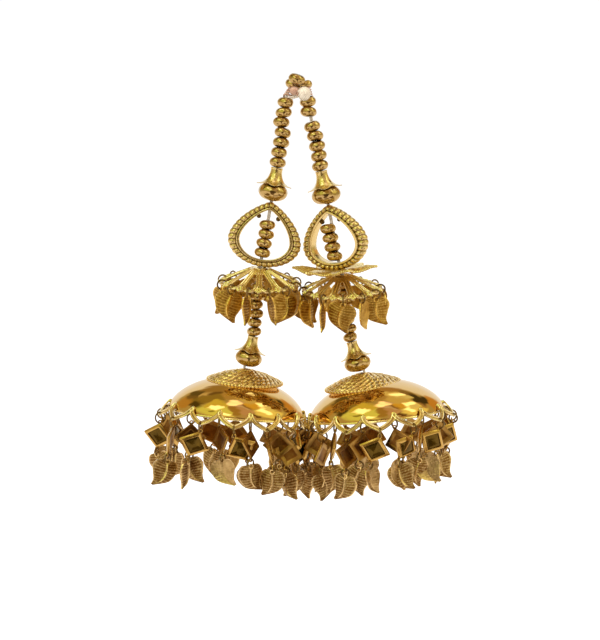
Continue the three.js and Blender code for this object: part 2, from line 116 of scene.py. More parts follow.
# A section of (across, out) points carried along a path. `outward` says which way out points;
# an open path is closed at each end by drawing its last section together.
def sweptGrid(path, outward, section, closed=False):
    ahead = unit(np.roll(path, -1, 0) - np.roll(path, 1, 0) if closed else np.gradient(path, axis=0))
    out = np.broadcast_to(outward, path.shape)
    out = unit(out - (out * ahead).sum(-1, keepdims=True) * ahead)
    across = np.cross(ahead, out)
    section = np.broadcast_to(section, (len(path),) + np.shape(section)[-2:])
    grid = path[:, None] + across[:, None] * section[..., :1] + out[:, None] * section[..., 1:]
    if not closed:
        grid = np.concatenate([np.broadcast_to(grid[:1].mean(1, keepdims=True), grid[:1].shape), grid,
                               np.broadcast_to(grid[-1:].mean(1, keepdims=True), grid[-1:].shape)])
    return grid


def roundSection(radius, sides):
    return around(radius, roundAngles(sides), 0)[:, :2]


# A round section swept along a path.
def tubePart(path, radius, sides=8, outward=front, closed=False, relief=1.0):
    grid = sweptGrid(np.asarray(path, float), outward, roundSection(radius, sides), closed)
    return closedPart(grid, relief, wrapRows=closed)


# A thin sheet from the grids of its face and its back. The back has one relief all over.
def sheetPart(place, face, back, relief, backRelief):
    relief = np.broadcast_to(relief, face.shape[:2])
    return closedPart(put(place, np.concatenate([face, back[::-1]])),
                      np.concatenate([relief, np.full(relief.shape, backRelief)]), wrapRows=True)


# A wire ring: a circle about `axis`, its wire a round section.
def ringPart(centre, axis, radius, wire, steps=20, sides=6, relief=0.6):
    axis = unit(np.asarray(axis, float))
    side = unit(np.cross(axis, up if abs(axis[2]) < 0.9 else front))
    angle = roundAngles(steps)[:, None]
    path = centre + radius * (np.cos(angle) * side + np.sin(angle) * np.cross(axis, side))
    return tubePart(path, wire, sides, outward=axis, closed=True, relief=relief)


# A ball: half a circle carried round, then scaled.
def ballPart(centre, scale, sides=10, relief=1.0):
    return closedPart(turnedGrid(halfEllipse(1, 1, sides // 2 + 1), sides) * scale + centre, relief)


# Dents hammered into a shape: each pushes the points that face its direction towards the centre.
def dented(grid, centre, dents, rng):
    away = unit(grid - centre)
    directions = unit(rng.normal(size=(dents["count"], 3)))
    nearness = np.exp((away @ directions.T - 1) / dents["spread"]).sum(-1)
    return grid - away * (dents["depth"] * nearness)[..., None]


# The different points of a CAD solid, in millimetres.
def cadPoints(node):
    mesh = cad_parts[node].data
    flat = np.empty(len(mesh.vertices) * 3, np.float32)
    mesh.vertices.foreach_get("co", flat)
    return np.unique(np.round(flat.reshape(-1, 3) / mm, 3), axis=0)


# Turns points sideways about the level line through `about` that runs from front to back.
def leant(points, about, degrees):
    c, s = np.cos(np.radians(degrees)), np.sin(np.radians(degrees))
    return about + (points - about) @ np.array([[c, 0, -s], [0, 1, 0], [s, 0, c]])


def leantPlace(place, about, degrees):
    return leant(place[0], about, degrees), leant(place[1], 0, degrees)


# The same for tipping: positive degrees tip the top of a piece to the front.
def tippedPlace(place, about, degrees):
    c, s = np.cos(np.radians(degrees)), np.sin(np.radians(degrees))
    turn = np.array([[1, 0, 0], [0, c, s], [0, -s, c]])
    return about + (place[0] - about) @ turn, place[1] @ turn


def movedPlace(place, shift):
    return place[0] + shift, place[1]


# A place: an origin and the three directions of its own x, y and z. z is the axis of a turned
# piece, and x is the direction across it that lies nearest to `across`.
def placeAt(origin, axis, across=(1.0, 0.0, 0.0)):
    z = unit(np.asarray(axis, float))
    x = np.asarray(across, float)
    x = unit(x - (x @ z) * z)
    return np.asarray(origin, float), np.stack([x, np.cross(z, x), z])


# From a place's own x, y and z to the frame's, and back again.
def put(place, grid):
    origin, directions = place
    return origin + np.asarray(grid, float) @ directions


def inside(place, points):
    origin, directions = place
    return (points - origin) @ directions.T


def putPart(place, part):
    return put(place, part[0]), part[1], part[2]


# The spread of points along their three principal directions, from least to most, and the directions.
def principal(points):
    return np.linalg.eigh(np.cov((points - points.mean(0)).T))


# The axis of a turned piece is the one of its three principal directions whose spread differs most
# from the other two. The place's origin is on it, level with the piece's highest point along it.
def turnedPlace(node):
    points = cadPoints(node)
    centre = points.mean(0)
    spread, directions = principal(points)
    axis = directions[:, 0 if spread[1] / spread[0] > spread[2] / spread[1] else 2]
    axis = axis * np.sign(axis[2])
    return placeAt(centre + axis * ((points - centre) @ axis).max(), axis)


# Where a repeated feature points, in degrees round the place's axis, from the outermost CAD points.
def phaseOf(node, place, count):
    local = inside(place, cadPoints(node))
    reach = np.hypot(local[:, 0], local[:, 1])
    outer = local[reach > reach.max() - 0.3]  # within 0.3 mm of the furthest
    angle = np.arctan2(outer[:, 1], outer[:, 0])
    return np.degrees(np.angle(np.exp(1j * count * angle).sum())) / count


# The middles of the beads on a string, from the points of the solid that lie furthest from its line.
# Seats nearer than 1.6 mm along the line belong to one bead. Three rounds straighten the line.
def beadSeats(node, radius):
    points = cadPoints(node)
    centre = points.mean(0)
    line = np.linalg.svd(points - centre)[2][0]
    line = line * -np.sign(line[2])  # down the string
    for _ in range(3):
        along = (points - centre) @ line
        off = np.linalg.norm(points - centre - along[:, None] * line, axis=1)
        wide = points[off > 0.89 * radius]
        level = (wide - centre) @ line
        along = np.sort(level)
        edges = np.concatenate([[-np.inf], (along[1:] + along[:-1])[np.diff(along) > 1.6] / 2, [np.inf]])
        seats = np.array([wide[(level > low) & (level <= high)].mean(0)
                          for low, high in zip(edges, edges[1:])])
        centre = seats.mean(0)
        line = unit(seats[-1] - seats[0])
    return seats, line


# An sRGB colour made linear: a straight line near black, a power above it.
def linear(hexColour):
    parts = [int(hexColour[i:i + 2], 16) / 255 for i in (1, 3, 5)]
    return tuple(c / 12.92 if c <= 0.04045 else ((c + 0.055) / 1.055) ** 2.4 for c in parts) + (1.0,)


# Adds one node with its settings; an input is given a value, or a socket to be linked to it.
def addNode(tree, kind, inputs, **settings):
    node = tree.nodes.new("ShaderNode" + kind)
    for name, value in settings.items():
        setattr(node, name, value)
    for socket, value in inputs.items():
        if isinstance(value, bpy.types.NodeSocket):
            tree.links.new(value, node.inputs[socket])
        else:
            node.inputs[socket].default_value = value
    return node


def emptyMaterial(name):
    material = bpy.data.materials.new(name)
    material.use_nodes = True
    material.node_tree.nodes.clear()
    return material, material.node_tree


# A material with one shader, the sockets in `fixed` set on the shader itself.
def newMaterial(name, fixed):
    material, tree = emptyMaterial(name)
    surface = addNode(tree, "BsdfPrincipled", fixed)
    addNode(tree, "OutputMaterial", {"Surface": surface.outputs[0]})
    return material, tree, surface


# Gold-plated brass. `crest` is the bright plate on the high places and `crevice` the dark toning left
# in the low ones; the piece's own relief mixes them. `patch` is how wide a cloud of toning is and
# `dent` the size and depth of the unevenness of the metal, all in millimetres.
def goldPlate(name, finish):
    material, tree, surface = newMaterial(name, {"Metallic": 1.0})
    place = addNode(tree, "TexCoord", {}).outputs["Object"]
    relief = addNode(tree, "Attribute", {}, attribute_name="relief").outputs["Fac"]
    clouds = addNode(tree, "TexNoise", {"Vector": place, "Scale": 1 / (finish["patch"] * mm), "Detail": 3.0})
    shade = addNode(tree, "MapRange", {"Value": relief, "From Min": finish["low"],
                                       "From Max": finish["high"]}).outputs[0]
    clouding = finish["clouding"]
    rubbed = addNode(tree, "Math", {0: clouds.outputs["Fac"], 1: clouding, 2: -clouding / 2},
                     operation="MULTIPLY_ADD")
    rubbed = addNode(tree, "Math", {0: shade, 1: rubbed.outputs[0]}, operation="ADD", use_clamp=True)
    crevice, crest = linear(finish["crevice"]), linear(finish["crest"])
    colour = addNode(tree, "Mix", {0: rubbed.outputs[0], 6: crevice, 7: crest}, data_type="RGBA")
    dullness = addNode(tree, "MapRange", {"Value": rubbed.outputs[0], "To Min": finish["dull"],
                                          "To Max": finish["bright"]})
    dents = addNode(tree, "TexNoise", {"Vector": place, "Scale": 1 / (finish["dent"][0] * mm), "Detail": 1.0})
    bump = addNode(tree, "Bump", {"Height": dents.outputs["Fac"], "Strength": 1.0,
                                  "Distance": finish["dent"][1] * mm})
    for socket, source in (("Base Color", colour.outputs[2]), ("Roughness", dullness.outputs[0]),
                           ("Normal", bump.outputs[0])):
        tree.links.new(source, surface.inputs[socket])
    return material


# Stamped sheet brass, buffed and gold plated: a mirror that bends a little where the sheet was drawn.
domeGold = goldPlate("gold plate, buffed mirror", {
    "crest": "#E0B970", "crevice": "#B98A3A", "low": 0.0, "high": 0.8, "clouding": 0.1, "patch": 9,
    "bright": 0.05, "dull": 0.14, "dent": (15, 0.5)})
# Pressed hollow beads, barrel polished: bright, with small soft dents from the die and the barrel.
beadGold = goldPlate("gold plate, barrel polished beads", {
    "crest": "#C8AC78", "crevice": "#5E4A28", "low": 0.0, "high": 0.85, "clouding": 0.35, "patch": 3,
    "bright": 0.11, "dull": 0.28, "dent": (3.2, 0.42)})
# Cast and toned findings: dark in the cuts, rubbed bright on the ridges.
castGold = goldPlate("gold plate, toned castings", {
    "crest": "#ECD69E", "crevice": "#745C34", "low": 0.05, "high": 0.85, "clouding": 0.3, "patch": 3,
    "bright": 0.24, "dull": 0.45, "dent": (1.1, 0.12)})
# The same openwork, rubbed brighter where hands and cloth touch it.
rubbedGold = goldPlate("gold plate, rubbed openwork castings", {
    "crest": "#FFF0BE", "crevice": "#C09A58", "low": 0.0, "high": 0.75, "clouding": 0.25, "patch": 3,
    "bright": 0.22, "dull": 0.42, "dent": (1.1, 0.10)})
# Brass cord cast as a woven disk, its strands buffed.
wovenGold = goldPlate("gold plate, buffed woven casting", {
    "crest": "#FFE29C", "crevice": "#98783A", "low": 0.0, "high": 0.75, "clouding": 0.2, "patch": 4,
    "bright": 0.20, "dull": 0.45, "dent": (1.0, 0.14)})
# A sheet flower, rich yellow plate.
petalGold = goldPlate("gold plate, stamped sheet flower", {
    "crest": "#FFEEB0", "crevice": "#D0A860", "low": 0.1, "high": 0.8, "clouding": 0.3, "patch": 4,
    "bright": 0.20, "dull": 0.42, "dent": (1.4, 0.14)})
# Thin stamped charms with more toning: a browner, softer shine.
charmGold = goldPlate("gold plate, toned stamped charms", {
    "crest": "#FFDC80", "crevice": "#92641E", "low": 0.0, "high": 0.9, "clouding": 0.9, "patch": 2.4,
    "bright": 0.24, "dull": 0.45, "dent": (0.8, 0.28)})
# The fringe's charms, their plate rubbed paler.
fringeGold = goldPlate("gold plate, rubbed stamped charms", {
    "crest": "#FFE4AE", "crevice": "#866030", "low": 0.1, "high": 0.9, "clouding": 0.9, "patch": 2.4,
    "bright": 0.24, "dull": 0.45, "dent": (0.8, 0.25)})
# Folded strip settings, toned amber on their backs.
settingGold = goldPlate("gold plate, toned strip settings", {
    "crest": "#D4B068", "crevice": "#6E3E12", "low": 0.1, "high": 0.8, "clouding": 0.5, "patch": 4,
    "bright": 0.22, "dull": 0.42, "dent": (1.2, 0.06)})
# Drawn wire bent into jump rings, its plate thin and greyed by handling.
wireGold = goldPlate("thin gold plate on drawn wire", {
    "crest": "#A58A5C", "crevice": "#46381F", "low": 0.0, "high": 1.0, "clouding": 0.5, "patch": 5,
    "bright": 0.24, "dull": 0.40, "dent": (1.0, 0.03)})


# A material clouded from a deep to a pale colour, `patch` millimetres to a cloud.
def clouded(name, deep, pale, patch, fixed):
    material, tree, surface = newMaterial(name, fixed)
    place = addNode(tree, "TexCoord", {}).outputs["Object"]
    clouds = addNode(tree, "TexNoise", {"Vector": place, "Scale": 1 / (patch * mm), "Detail": 2.0})
    deep, pale = linear(deep), linear(pale)
    colour = addNode(tree, "Mix", {0: clouds.outputs["Fac"], 6: deep, 7: pale}, data_type="RGBA")
    tree.links.new(colour.outputs[2], surface.inputs["Base Color"])
    return material


# Float glass silvered dark behind, cut into squares: flat, very glossy, olive in the light.
mirrorGlass = clouded("dark gold mirror glass", "#2C2006", "#785C18", 4,
                      {"Metallic": 0.85, "Roughness": 0.08, "Coat Weight": 0.08})
# Drawn nylon: clear monofilament reads as milky where it is bunched; the twisted thread is pinkish brown.
clearNylon = clouded("clear nylon monofilament", "#A89478", "#DDD0BA", 1.6,
                     {"Roughness": 0.3, "IOR": 1.53, "Transmission Weight": 0.12})
brownNylon = clouded("twisted nylon thread", "#84563E", "#C4A084", 1.6,
                     {"Roughness": 0.3, "IOR": 1.53, "Transmission Weight": 0.1})
print("materials made")


# A piece from its parts. Points that meet, as at a pole, are merged, and edges sharper than 40
# degrees stay crisp.
def makePiece(name, parts, material, body, replaced):
    starts = np.cumsum([0] + [len(points) for points, _, _ in parts])
    mesh = bpy.data.meshes.new(name)
    mesh.from_pydata(np.concatenate([points for points, _, _ in parts]) * mm, [],
                     np.concatenate([quads + start for (_, quads, _), start in zip(parts, starts)]).tolist())
    relief = np.concatenate([height for _, _, height in parts]).astype(np.float32)
    mesh.attributes.new("relief", "FLOAT", "POINT").data.foreach_set("value", relief)
    work = bmesh.new()
    work.from_mesh(mesh)
    bmesh.ops.remove_doubles(work, verts=work.verts, dist=1e-3 * mm)
    work.to_mesh(mesh)
    work.free()
    mesh.shade_smooth()
    mesh.set_sharp_from_angle(angle=np.radians(40))
    mesh.materials.append(material)
    piece = bpy.data.objects.new(name, mesh)
    bpy.context.scene.collection.objects.link(piece)
    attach(piece, body)
    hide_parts(*replaced)


beads = {
    "sides": 28, "steps": 15,
    "flat": 0.36,  # share of the radius that stays flat round the hole at each end
    "dimple": 0.44, "tip": 0.08,  # height of the hole's edge and how far a bead tips, as shares
    "dents": {"count": 9, "spread": 0.06, "depth": 0.16},
    # radius and height as made, and the radius of the plain bead that each one stands for
    "upper": (4.1, 4.95, 4.0), "inner": (4.05, 4.7, 3.7), "lower": (3.6, 4.4, 3.6),
    "lowerShift": {"left": 2.1, "right": -3.9},  # how far the thread's lower end hangs inwards
    # how far the bare thread shows above and below each run
    "thread": {"upper": (5.0, 4.0), "inner": (12.5, 3.2), "lower": (6.0, 3.0)},
}
# How far each bead has slipped, from the top down.
sway = {
    "left_upper": [0, -0.35, -0.85, 0.5, 0.35, 0, 0], "right_upper": [0, -0.6, -0.2, 0.35, 0.35, 0.25, 0],
    "left_inner": [0, 0.2, 0, 0], "right_inner": [-2.2, -1.9, -1.7, -1.6],
    "left_lower": [0.3, -0.2, 0.4, -0.3, 0.3, -0.1, 0], "right_lower": [0, 0.3, -0.3, 0.2, -0.3, 0.1, 0],
}


# A bead: flat ends round the hole, and between them half an ellipse: radius grows with the sine
# and height falls with the cosine of an angle from end to end. Turned, dented, and tipped a little.
def beadPart(centre, line, radius, height, rng):
    flat, dimple = beads["flat"] * radius, beads["dimple"] * height
    profile = halfEllipse(radius - flat, height / 2, beads["steps"]) + [flat, 0]
    profile = np.vstack([[0, dimple], profile, [0, -dimple]])
    down = np.concatenate([[0], np.linspace(0, np.pi, beads["steps"]), [np.pi]])
    grid = dented(turnedGrid(profile, beads["sides"]), np.zeros(3), beads["dents"], rng)
    relief = 0.1 + 0.9 * np.sin(down)[:, None] ** 0.7
    tip = -line + beads["tip"] * rng.normal(size=3)
    return closedPart(put(placeAt(centre, tip), grid), relief)


# Two clear filaments side by side from one point to the next.
def filaments(fromPoint, toPoint, spacing=0.85, radius=0.42):
    path = np.linspace(fromPoint, toPoint, 6)
    side = unit(np.cross(toPoint - fromPoint, front)) * spacing / 2
    return [tubePart(path + shift, radius, 8) for shift in (side, -side)]


# The beads of one run at the CAD beads' middles, each slipped sideways on its thread.
def beadString(side, run, seed):
    node = f"{side}_{run}_beads"
    radius, height, cadRadius = beads[run]
    seats, line = beadSeats(node, cadRadius)
    if run == "lower":
        seats = seats + np.linspace(0.1, 1, len(seats))[:, None] * [beads["lowerShift"][side], 0, 0]
        line = unit(seats[-1] - seats[0])
    across = unit(np.cross(line, front))
    across = across * np.sign(across[0])
    rng = np.random.default_rng(seed)
    slips = np.array(sway[f"{side}_{run}"])[:, None] * across
    parts = [beadPart(seat + slip, line, radius, height, rng) for seat, slip in zip(seats, slips)]
    makePiece(f"{side}_{run}_bead_string", parts, beadGold, "root", [node])
    return seats, line


threads = []
strandSeats = {}
for side, seed in (("left", 3), ("right", 8)):
    for run in ("upper", "inner", "lower"):
        seats, line = beadString(side, run, seed)
        strandSeats[side, run] = seats, line
        above, below = beads["thread"][run]
        threads += filaments(seats[0] - line * above, seats[-1] + line * below)
        seed += 20
print("beads strung:", {key: len(value[0]) for key, value in strandSeats.items()})


cap = {
    "petals": 5, "sides": 120, "rows": 40, "wall": 0.35,
    # (radius, down) of the outer face from the collar to a petal's tip, for the upper cap
    "outline": [(1.1, 0.0), (2.75, 0.0), (3.0, 0.25), (2.85, 0.9), (2.9, 2.2), (3.15, 3.6), (3.65, 5.0),
                (4.5, 6.4), (5.6, 7.5), (7.0, 8.3), (9.0, 8.6)],
    "valley": 0.83, "arch": 1.6,  # share of the outline left where two petals part, and the cut's power
    "size": {"upper": 1.0, "lower": 0.914},
}
ball = {"sides": 48, "steps": 25, "fullness": 0.86, "dents": {"count": 7, "spread": 0.05, "depth": 0.22}}


# The cap's outline is carried round the axis, and each meridian stops where the round arch cut
# between two petals stops it, so that the petals end in points. The inner face lies a wall inside.
def trumpetPart(place, scale):
    angle = roundAngles(cap["sides"]) - np.pi / 2
    petal = (angle + np.pi / 2) * cap["petals"] / (2 * np.pi)
    offTip = np.abs(petal - np.round(petal)) * 2  # 0 on a petal's tip, 1 between two petals
    end = 1 - (1 - cap["valley"]) * (1 - (1 - offTip) ** cap["arch"])
    share = np.linspace(0, 1, cap["rows"])[:, None] * end
    outer = smoothThrough(cap["outline"], share) * scale
    ahead = unit(smoothThrough(cap["outline"], np.clip(share + 0.01, 0, 1)) -
                 smoothThrough(cap["outline"], np.clip(share - 0.01, 0, 1)))
    inner = outer + np.stack([-ahead[..., 1], ahead[..., 0]], -1) * cap["wall"]
    outer, inner = (around(face[..., 0], angle, -face[..., 1]) for face in (outer, inner))
    return sheetPart(place, outer, inner, 0.75 + 0.25 * share, 0.65)


# A ball fills the CAD ball's height and width, a power of the sine making it fuller than an ellipse.
def ballShape(place, node, shift, rng):
    local = inside(place, cadPoints(node) + shift)
    radius = np.hypot(local[:, 0], local[:, 1]).max() + 0.1
    top, bottom = local[:, 2].max(), local[:, 2].min()
    profile = halfEllipse(radius, (top - bottom) / 2, ball["steps"], ball["fullness"])
    grid = dented(turnedGrid(profile, ball["sides"]), np.zeros(3), ball["dents"], rng)
    relief = 0.8 + 0.2 * np.sin(np.linspace(0, np.pi, ball["steps"]))[:, None]
    return closedPart(put(place, grid + up * (top + bottom) / 2), relief)


for side in ("left", "right"):
    for level, scale in cap["size"].items():
        shift = np.array([beads["lowerShift"][side] if level == "lower" else 0.0, 0, 0])
        place = movedPlace(turnedPlace(f"{side}_{level}_cap"), shift)
        makePiece(f"{side}_{level}_petalled_cap", [trumpetPart(place, scale)], castGold, "root",
                  [f"{side}_{level}_cap"])
        rng = np.random.default_rng(len(side) + len(level))
        node = f"{side}_{level}_ball"
        parts = [ballShape(place, node, shift, rng)]
        makePiece(f"{side}_{level}_round_ball", parts, beadGold, "root", [node])
print("caps and balls made")


teardrop = {
    "ridges": 36, "perRidge": 10, "lip": 0.3, "pinch": 0.17,
    "shoulder": (1.7, 0.8),  # powers that draw the top in to a rounded point
    "hole": (12.3, 4.0, 3.6),  # half width of the hole, and the band's width above and below it
    "stubs": {"across": 4.8, "down": 7.8, "radius": 1.2},  # two dark ends of wire inside the ring
}


# A teardrop: below its widest level half an ellipse. Above it the width is half times one power of
# (1 minus another power of the share of the height).
def teardropLine(half, above, below, turn):
    wide, high = np.cos(turn), np.sin(turn)
    inner, outer = teardrop["shoulder"]
    drawn = np.sign(wide) * np.clip(1 - np.abs(high) ** inner, 0, 1) ** outer
    return np.stack([half * np.where(high > 0, drawn, wide), np.where(high > 0, above, below) * high], -1)


# The band between the inner and the outer teardrop. Its section runs round a flat lip and a half
# round back, and the ridges pinch the half round in towards its middle.
def teardropPart(place, level, half, above, below, inner):
    turn = roundAngles(2000)
    lines = np.concatenate([teardropLine(*inner, turn), teardropLine(half, above, below, turn)], -1)
    lines = evenly(lines, teardrop["ridges"] * teardrop["perRidge"], closed=True)
    innerLine, outerLine = lines[:, None, :2], lines[:, None, 2:]
    lip = teardrop["lip"]
    # (share of the way out, depth, how deep the ridges cut) round the section
    section = np.array([(0.0, -2.6, 0), (0.0, 0, 0), (0.0, 2.6, 0), (0.03, 2.95, 0), (0.08, 3.05, 0),
                        (lip - 0.06, 3.05, 0), (lip, 2.9, 0.1), (lip + 0.04, 2.45, 0.75),
                        (lip + 0.1, 2.75, 1), (0.52, 3.1, 1), (0.68, 3.0, 1), (0.84, 2.5, 1),
                        (0.96, 1.6, 1), (1.02, 0.6, 0.9)])
    section = np.concatenate([section, (section * [1, -1, 1])[:2:-1]])
    share, depth, cut = section.T
    wave = np.abs(np.cos(np.pi * np.arange(len(lines)) / teardrop["perRidge"]))[:, None] ** 0.7
    pinch = 1 - teardrop["pinch"] * cut * (1 - wave)
    share = 0.5 + (share - 0.5) * np.where(share > 0.5, pinch, 1)
    depth = depth * pinch
    flat = innerLine + (outerLine - innerLine) * share[..., None]
    grid = np.stack([flat[..., 0], depth, flat[..., 1] + level], -1)
    relief = np.where(cut > 0.05, 0.15 + 0.85 * wave * np.minimum(1, 0.4 + cut), 0.85)
    relief = relief * np.where(np.isclose(section[:, 0], lip + 0.04), 0.25, 1.0)
    return closedPart(put(place, grid), relief, wrapRows=True)


for side in ("left", "right"):
    node = f"{side}_teardrop"
    points = cadPoints(node)
    through = principal(points)[1][:, 0]
    through = through * -np.sign(through[1])  # towards the front
    line = strandSeats[side, "inner"][1]
    place = placeAt(points.mean(0), -line, np.cross(line, through))
    local = inside(place, points)
    half, top, bottom = local[:, 0].max(), local[:, 2].max(), local[:, 2].min()
    widest = local[local[:, 0] > half - 0.05][:, 2].mean()
    above, below = top - widest, widest - bottom
    holeHalf, bandAbove, bandBelow = teardrop["hole"]
    inner = (holeHalf, above - bandAbove, below - bandBelow)
    parts = [teardropPart(place, widest, half, above, below, inner)]
    stub = teardrop["stubs"]
    for sign in (-1, 1):
        seat = put(place, (sign * stub["across"], 0.4, top - stub["down"]))
        parts.append(ballPart(seat, stub["radius"], relief=0.0))
    makePiece(f"{side}_ridged_teardrop", parts, castGold, "root", [node])
print("teardrop rings made")


flower = {
    "petals": 6, "valley": 9.8, "sides": 240, "rings": 26, "thickness": 0.8, "grains": 132, "level": 0.1,
    "lean": -3.9, "tip": 3.5, "wave": 1.5, "shift": np.array([-2.8, 0.0, 1.3]),
    "flat": 6.0, "rising": 10.0,  # radius the flat middle reaches, and how far further the wave grows
    "rib": 0.16, "crease": 0.25,  # heights of the side ribs and of the rib along a petal's middle
}


# Radius reaches out to each petal's point and back; height waves across every petal, with a raised
# middle rib and fine side ribs. A grained edge of small beads follows the outline.
def flowerParts(place, phase, tip):
    angle = roundAngles(flower["sides"])
    petal = (angle - phase) * flower["petals"] / (2 * np.pi)
    off = np.abs(petal - np.round(petal)) * 2
    edge = flower["valley"] + (tip - flower["valley"]) * (1 - off ** 0.9) ** 0.8
    share = np.linspace(0.07, 1, flower["rings"])[:, None]
    radius = edge * share
    inPetal = np.clip((radius - flower["flat"]) / flower["rising"], 0, 1)
    wave = flower["wave"] * np.cos(np.pi * off) + 0.5 * np.cos(2 * np.pi * petal / 3 + 1.0)
    height = flower["level"] + inPetal * (wave - 0.5 * share ** 3)
    ribs = np.abs(np.sin(3.2 * np.pi * (share * 2.2 + off))) ** 0.6
    crease = np.exp(-(off / 0.08) ** 2)
    face = around(radius, angle, height + (flower["rib"] * ribs + flower["crease"] * crease) * inPetal)
    back = around(radius, angle, height - flower["thickness"])
    sheet = sheetPart(place, face, back, 0.35 + 0.5 * ribs * inPetal + 0.3 * crease, 0.2)
    rim = evenly(around(edge, angle, height[-1] - 0.3), flower["grains"] * 6, closed=True)
    grain = np.abs(np.sin(np.pi * np.arange(len(rim)) / 6)) ** 0.5
    section = roundSection(1.0, 8) * (0.42 + 0.28 * grain)[:, None, None]
    rim = put(place, sweptGrid(rim, up, section, closed=True))
    return [sheet, closedPart(rim, grain[:, None], wrapRows=True)]


cadPlace = turnedPlace("flower_disk")
local = inside(cadPlace, cadPoints("flower_disk"))
reach = np.hypot(local[:, 0], local[:, 1]).max()
phase = np.radians(phaseOf("flower_disk", cadPlace, flower["petals"]))
place = leantPlace(movedPlace(cadPlace, flower["shift"]), cadPlace[0], flower["lean"])
place = tippedPlace(place, place[0], flower["tip"])
parts = flowerParts(place, phase, reach)
makePiece("flower_disk_wavy", parts, petalGold, "root", ["flower_disk"])
print("flower disk made")


umbrella = {
    "petals": 12, "strip": 1.65, "tip": 4.0,
    "cone": [(0, 0.15), (3.2, 0.0), (5.5, -0.75), (8, -1.95), (12, -3.85), (16, -5.75), (19.8, -7.5)],
    # radius and half angle of one petal's loop, from the hub out to the middle of its rim
    "loop": [(4.6, 9.5), (6.5, 9.9), (9, 10.9), (12, 11.6), (14.5, 11.7), (16.6, 10.4), (18.2, 7.4),
             (18.95, 3.4), (19.1, 0.0)],
    # (radius, degrees off the middle) of the small balls where two petals meet at the rim
    "balls": [(17.3, 0.0), (18.7, -2.9), (18.7, 2.9), (19.6, 0.0)], "ballRadius": 0.92,
    "hub": [(1.3, 0.35), (3.0, 0.4), (3.3, 0.1), (4.6, -0.15), (6.3, -0.85), (7.2, -1.5), (7.0, -1.95),
            (4.6, -1.1), (1.3, -0.7)],
    "hubRelief": [0.8, 1, 0.4, 0.7, 0.6, 0.5, 0.2, 0.1, 0.1],
}
# The strip's section: two raised wires with a groove between them, on a flat back.
stripHalf = np.array([(-1, -0.25), (-1, 0.12), (-0.86, 0.4), (-0.62, 0.5), (-0.38, 0.36), (-0.2, 0.08)])
stripSection = np.concatenate([stripHalf, (stripHalf * [-1, 1])[::-1]])
stripRelief = np.array([0.2, 0.5, 0.9, 1, 0.7, 0.1, 0.1, 0.7, 1, 0.9, 0.5, 0.2])


# The strip swept along a path, `size` its half width and its height.
def stripPart(place, path, outward, size):
    return closedPart(put(place, sweptGrid(path, outward, stripSection * size)), stripRelief)


# Points of the umbrella's cone, their height read off by their radius.
def onCone(radius, angle, lift=0.0):
    return around(radius, angle, np.interp(radius, *np.transpose(umbrella["cone"])) + lift)


# Each petal is one grooved strip that leaves the hub, swells, rounds the rim and comes back.
def umbrellaParts(place, phase):
    flank = smoothThrough(umbrella["loop"], np.linspace(0, 1, 60))
    loop = np.concatenate([flank * [1, -1], flank[-2::-1]])
    parts = []
    for i in range(umbrella["petals"]):
        spoke = np.radians(phase + i * 360 / umbrella["petals"])
        path = evenly(onCone(loop[:, 0], spoke + np.radians(loop[:, 1])), 46)
        outward = unit(0.42 * unit(path * [1, 1, 0]) + up)
        parts.append(stripPart(place, path, outward, [umbrella["strip"] / 2, 1.0]))
        for radius, shift in umbrella["balls"]:
            turn = spoke + np.radians(180 / umbrella["petals"] + shift)
            parts.append(ballPart(put(place, onCone(radius, turn, 0.1)), umbrella["ballRadius"], 8))
    hub = put(place, turnedGrid(umbrella["hub"], 72))
    parts.append(closedPart(hub, np.array(umbrella["hubRelief"])[:, None], wrapRows=True))
    return parts


leaf = {
    "rows": 73, "halfColumns": 11, "thickness": 0.55, "veins": 13.0,
    # (across, down) knots from the top to the tip: the midrib and both edges
    "midrib": [(0.0, -0.9), (0.3, 1.8), (0.8, 4.8), (0.5, 7.7), (-1.0, 10.4), (-4.0, 12.5)],
    "near": [(-0.7, -0.8), (-4.6, -0.3), (-6.5, 3.0), (-5.3, 6.6), (-4.2, 9.6), (-4.6, 12.4)],
    "far": [(0.7, -0.8), (4.4, -0.9), (6.5, 1.8), (6.1, 5.5), (3.6, 9.2), (-3.6, 12.7)],
    "eyelet": (1.05, 0.38), "cup": 1.5, "vein": 0.4, "rib": 0.75, "rim": 0.18,
}


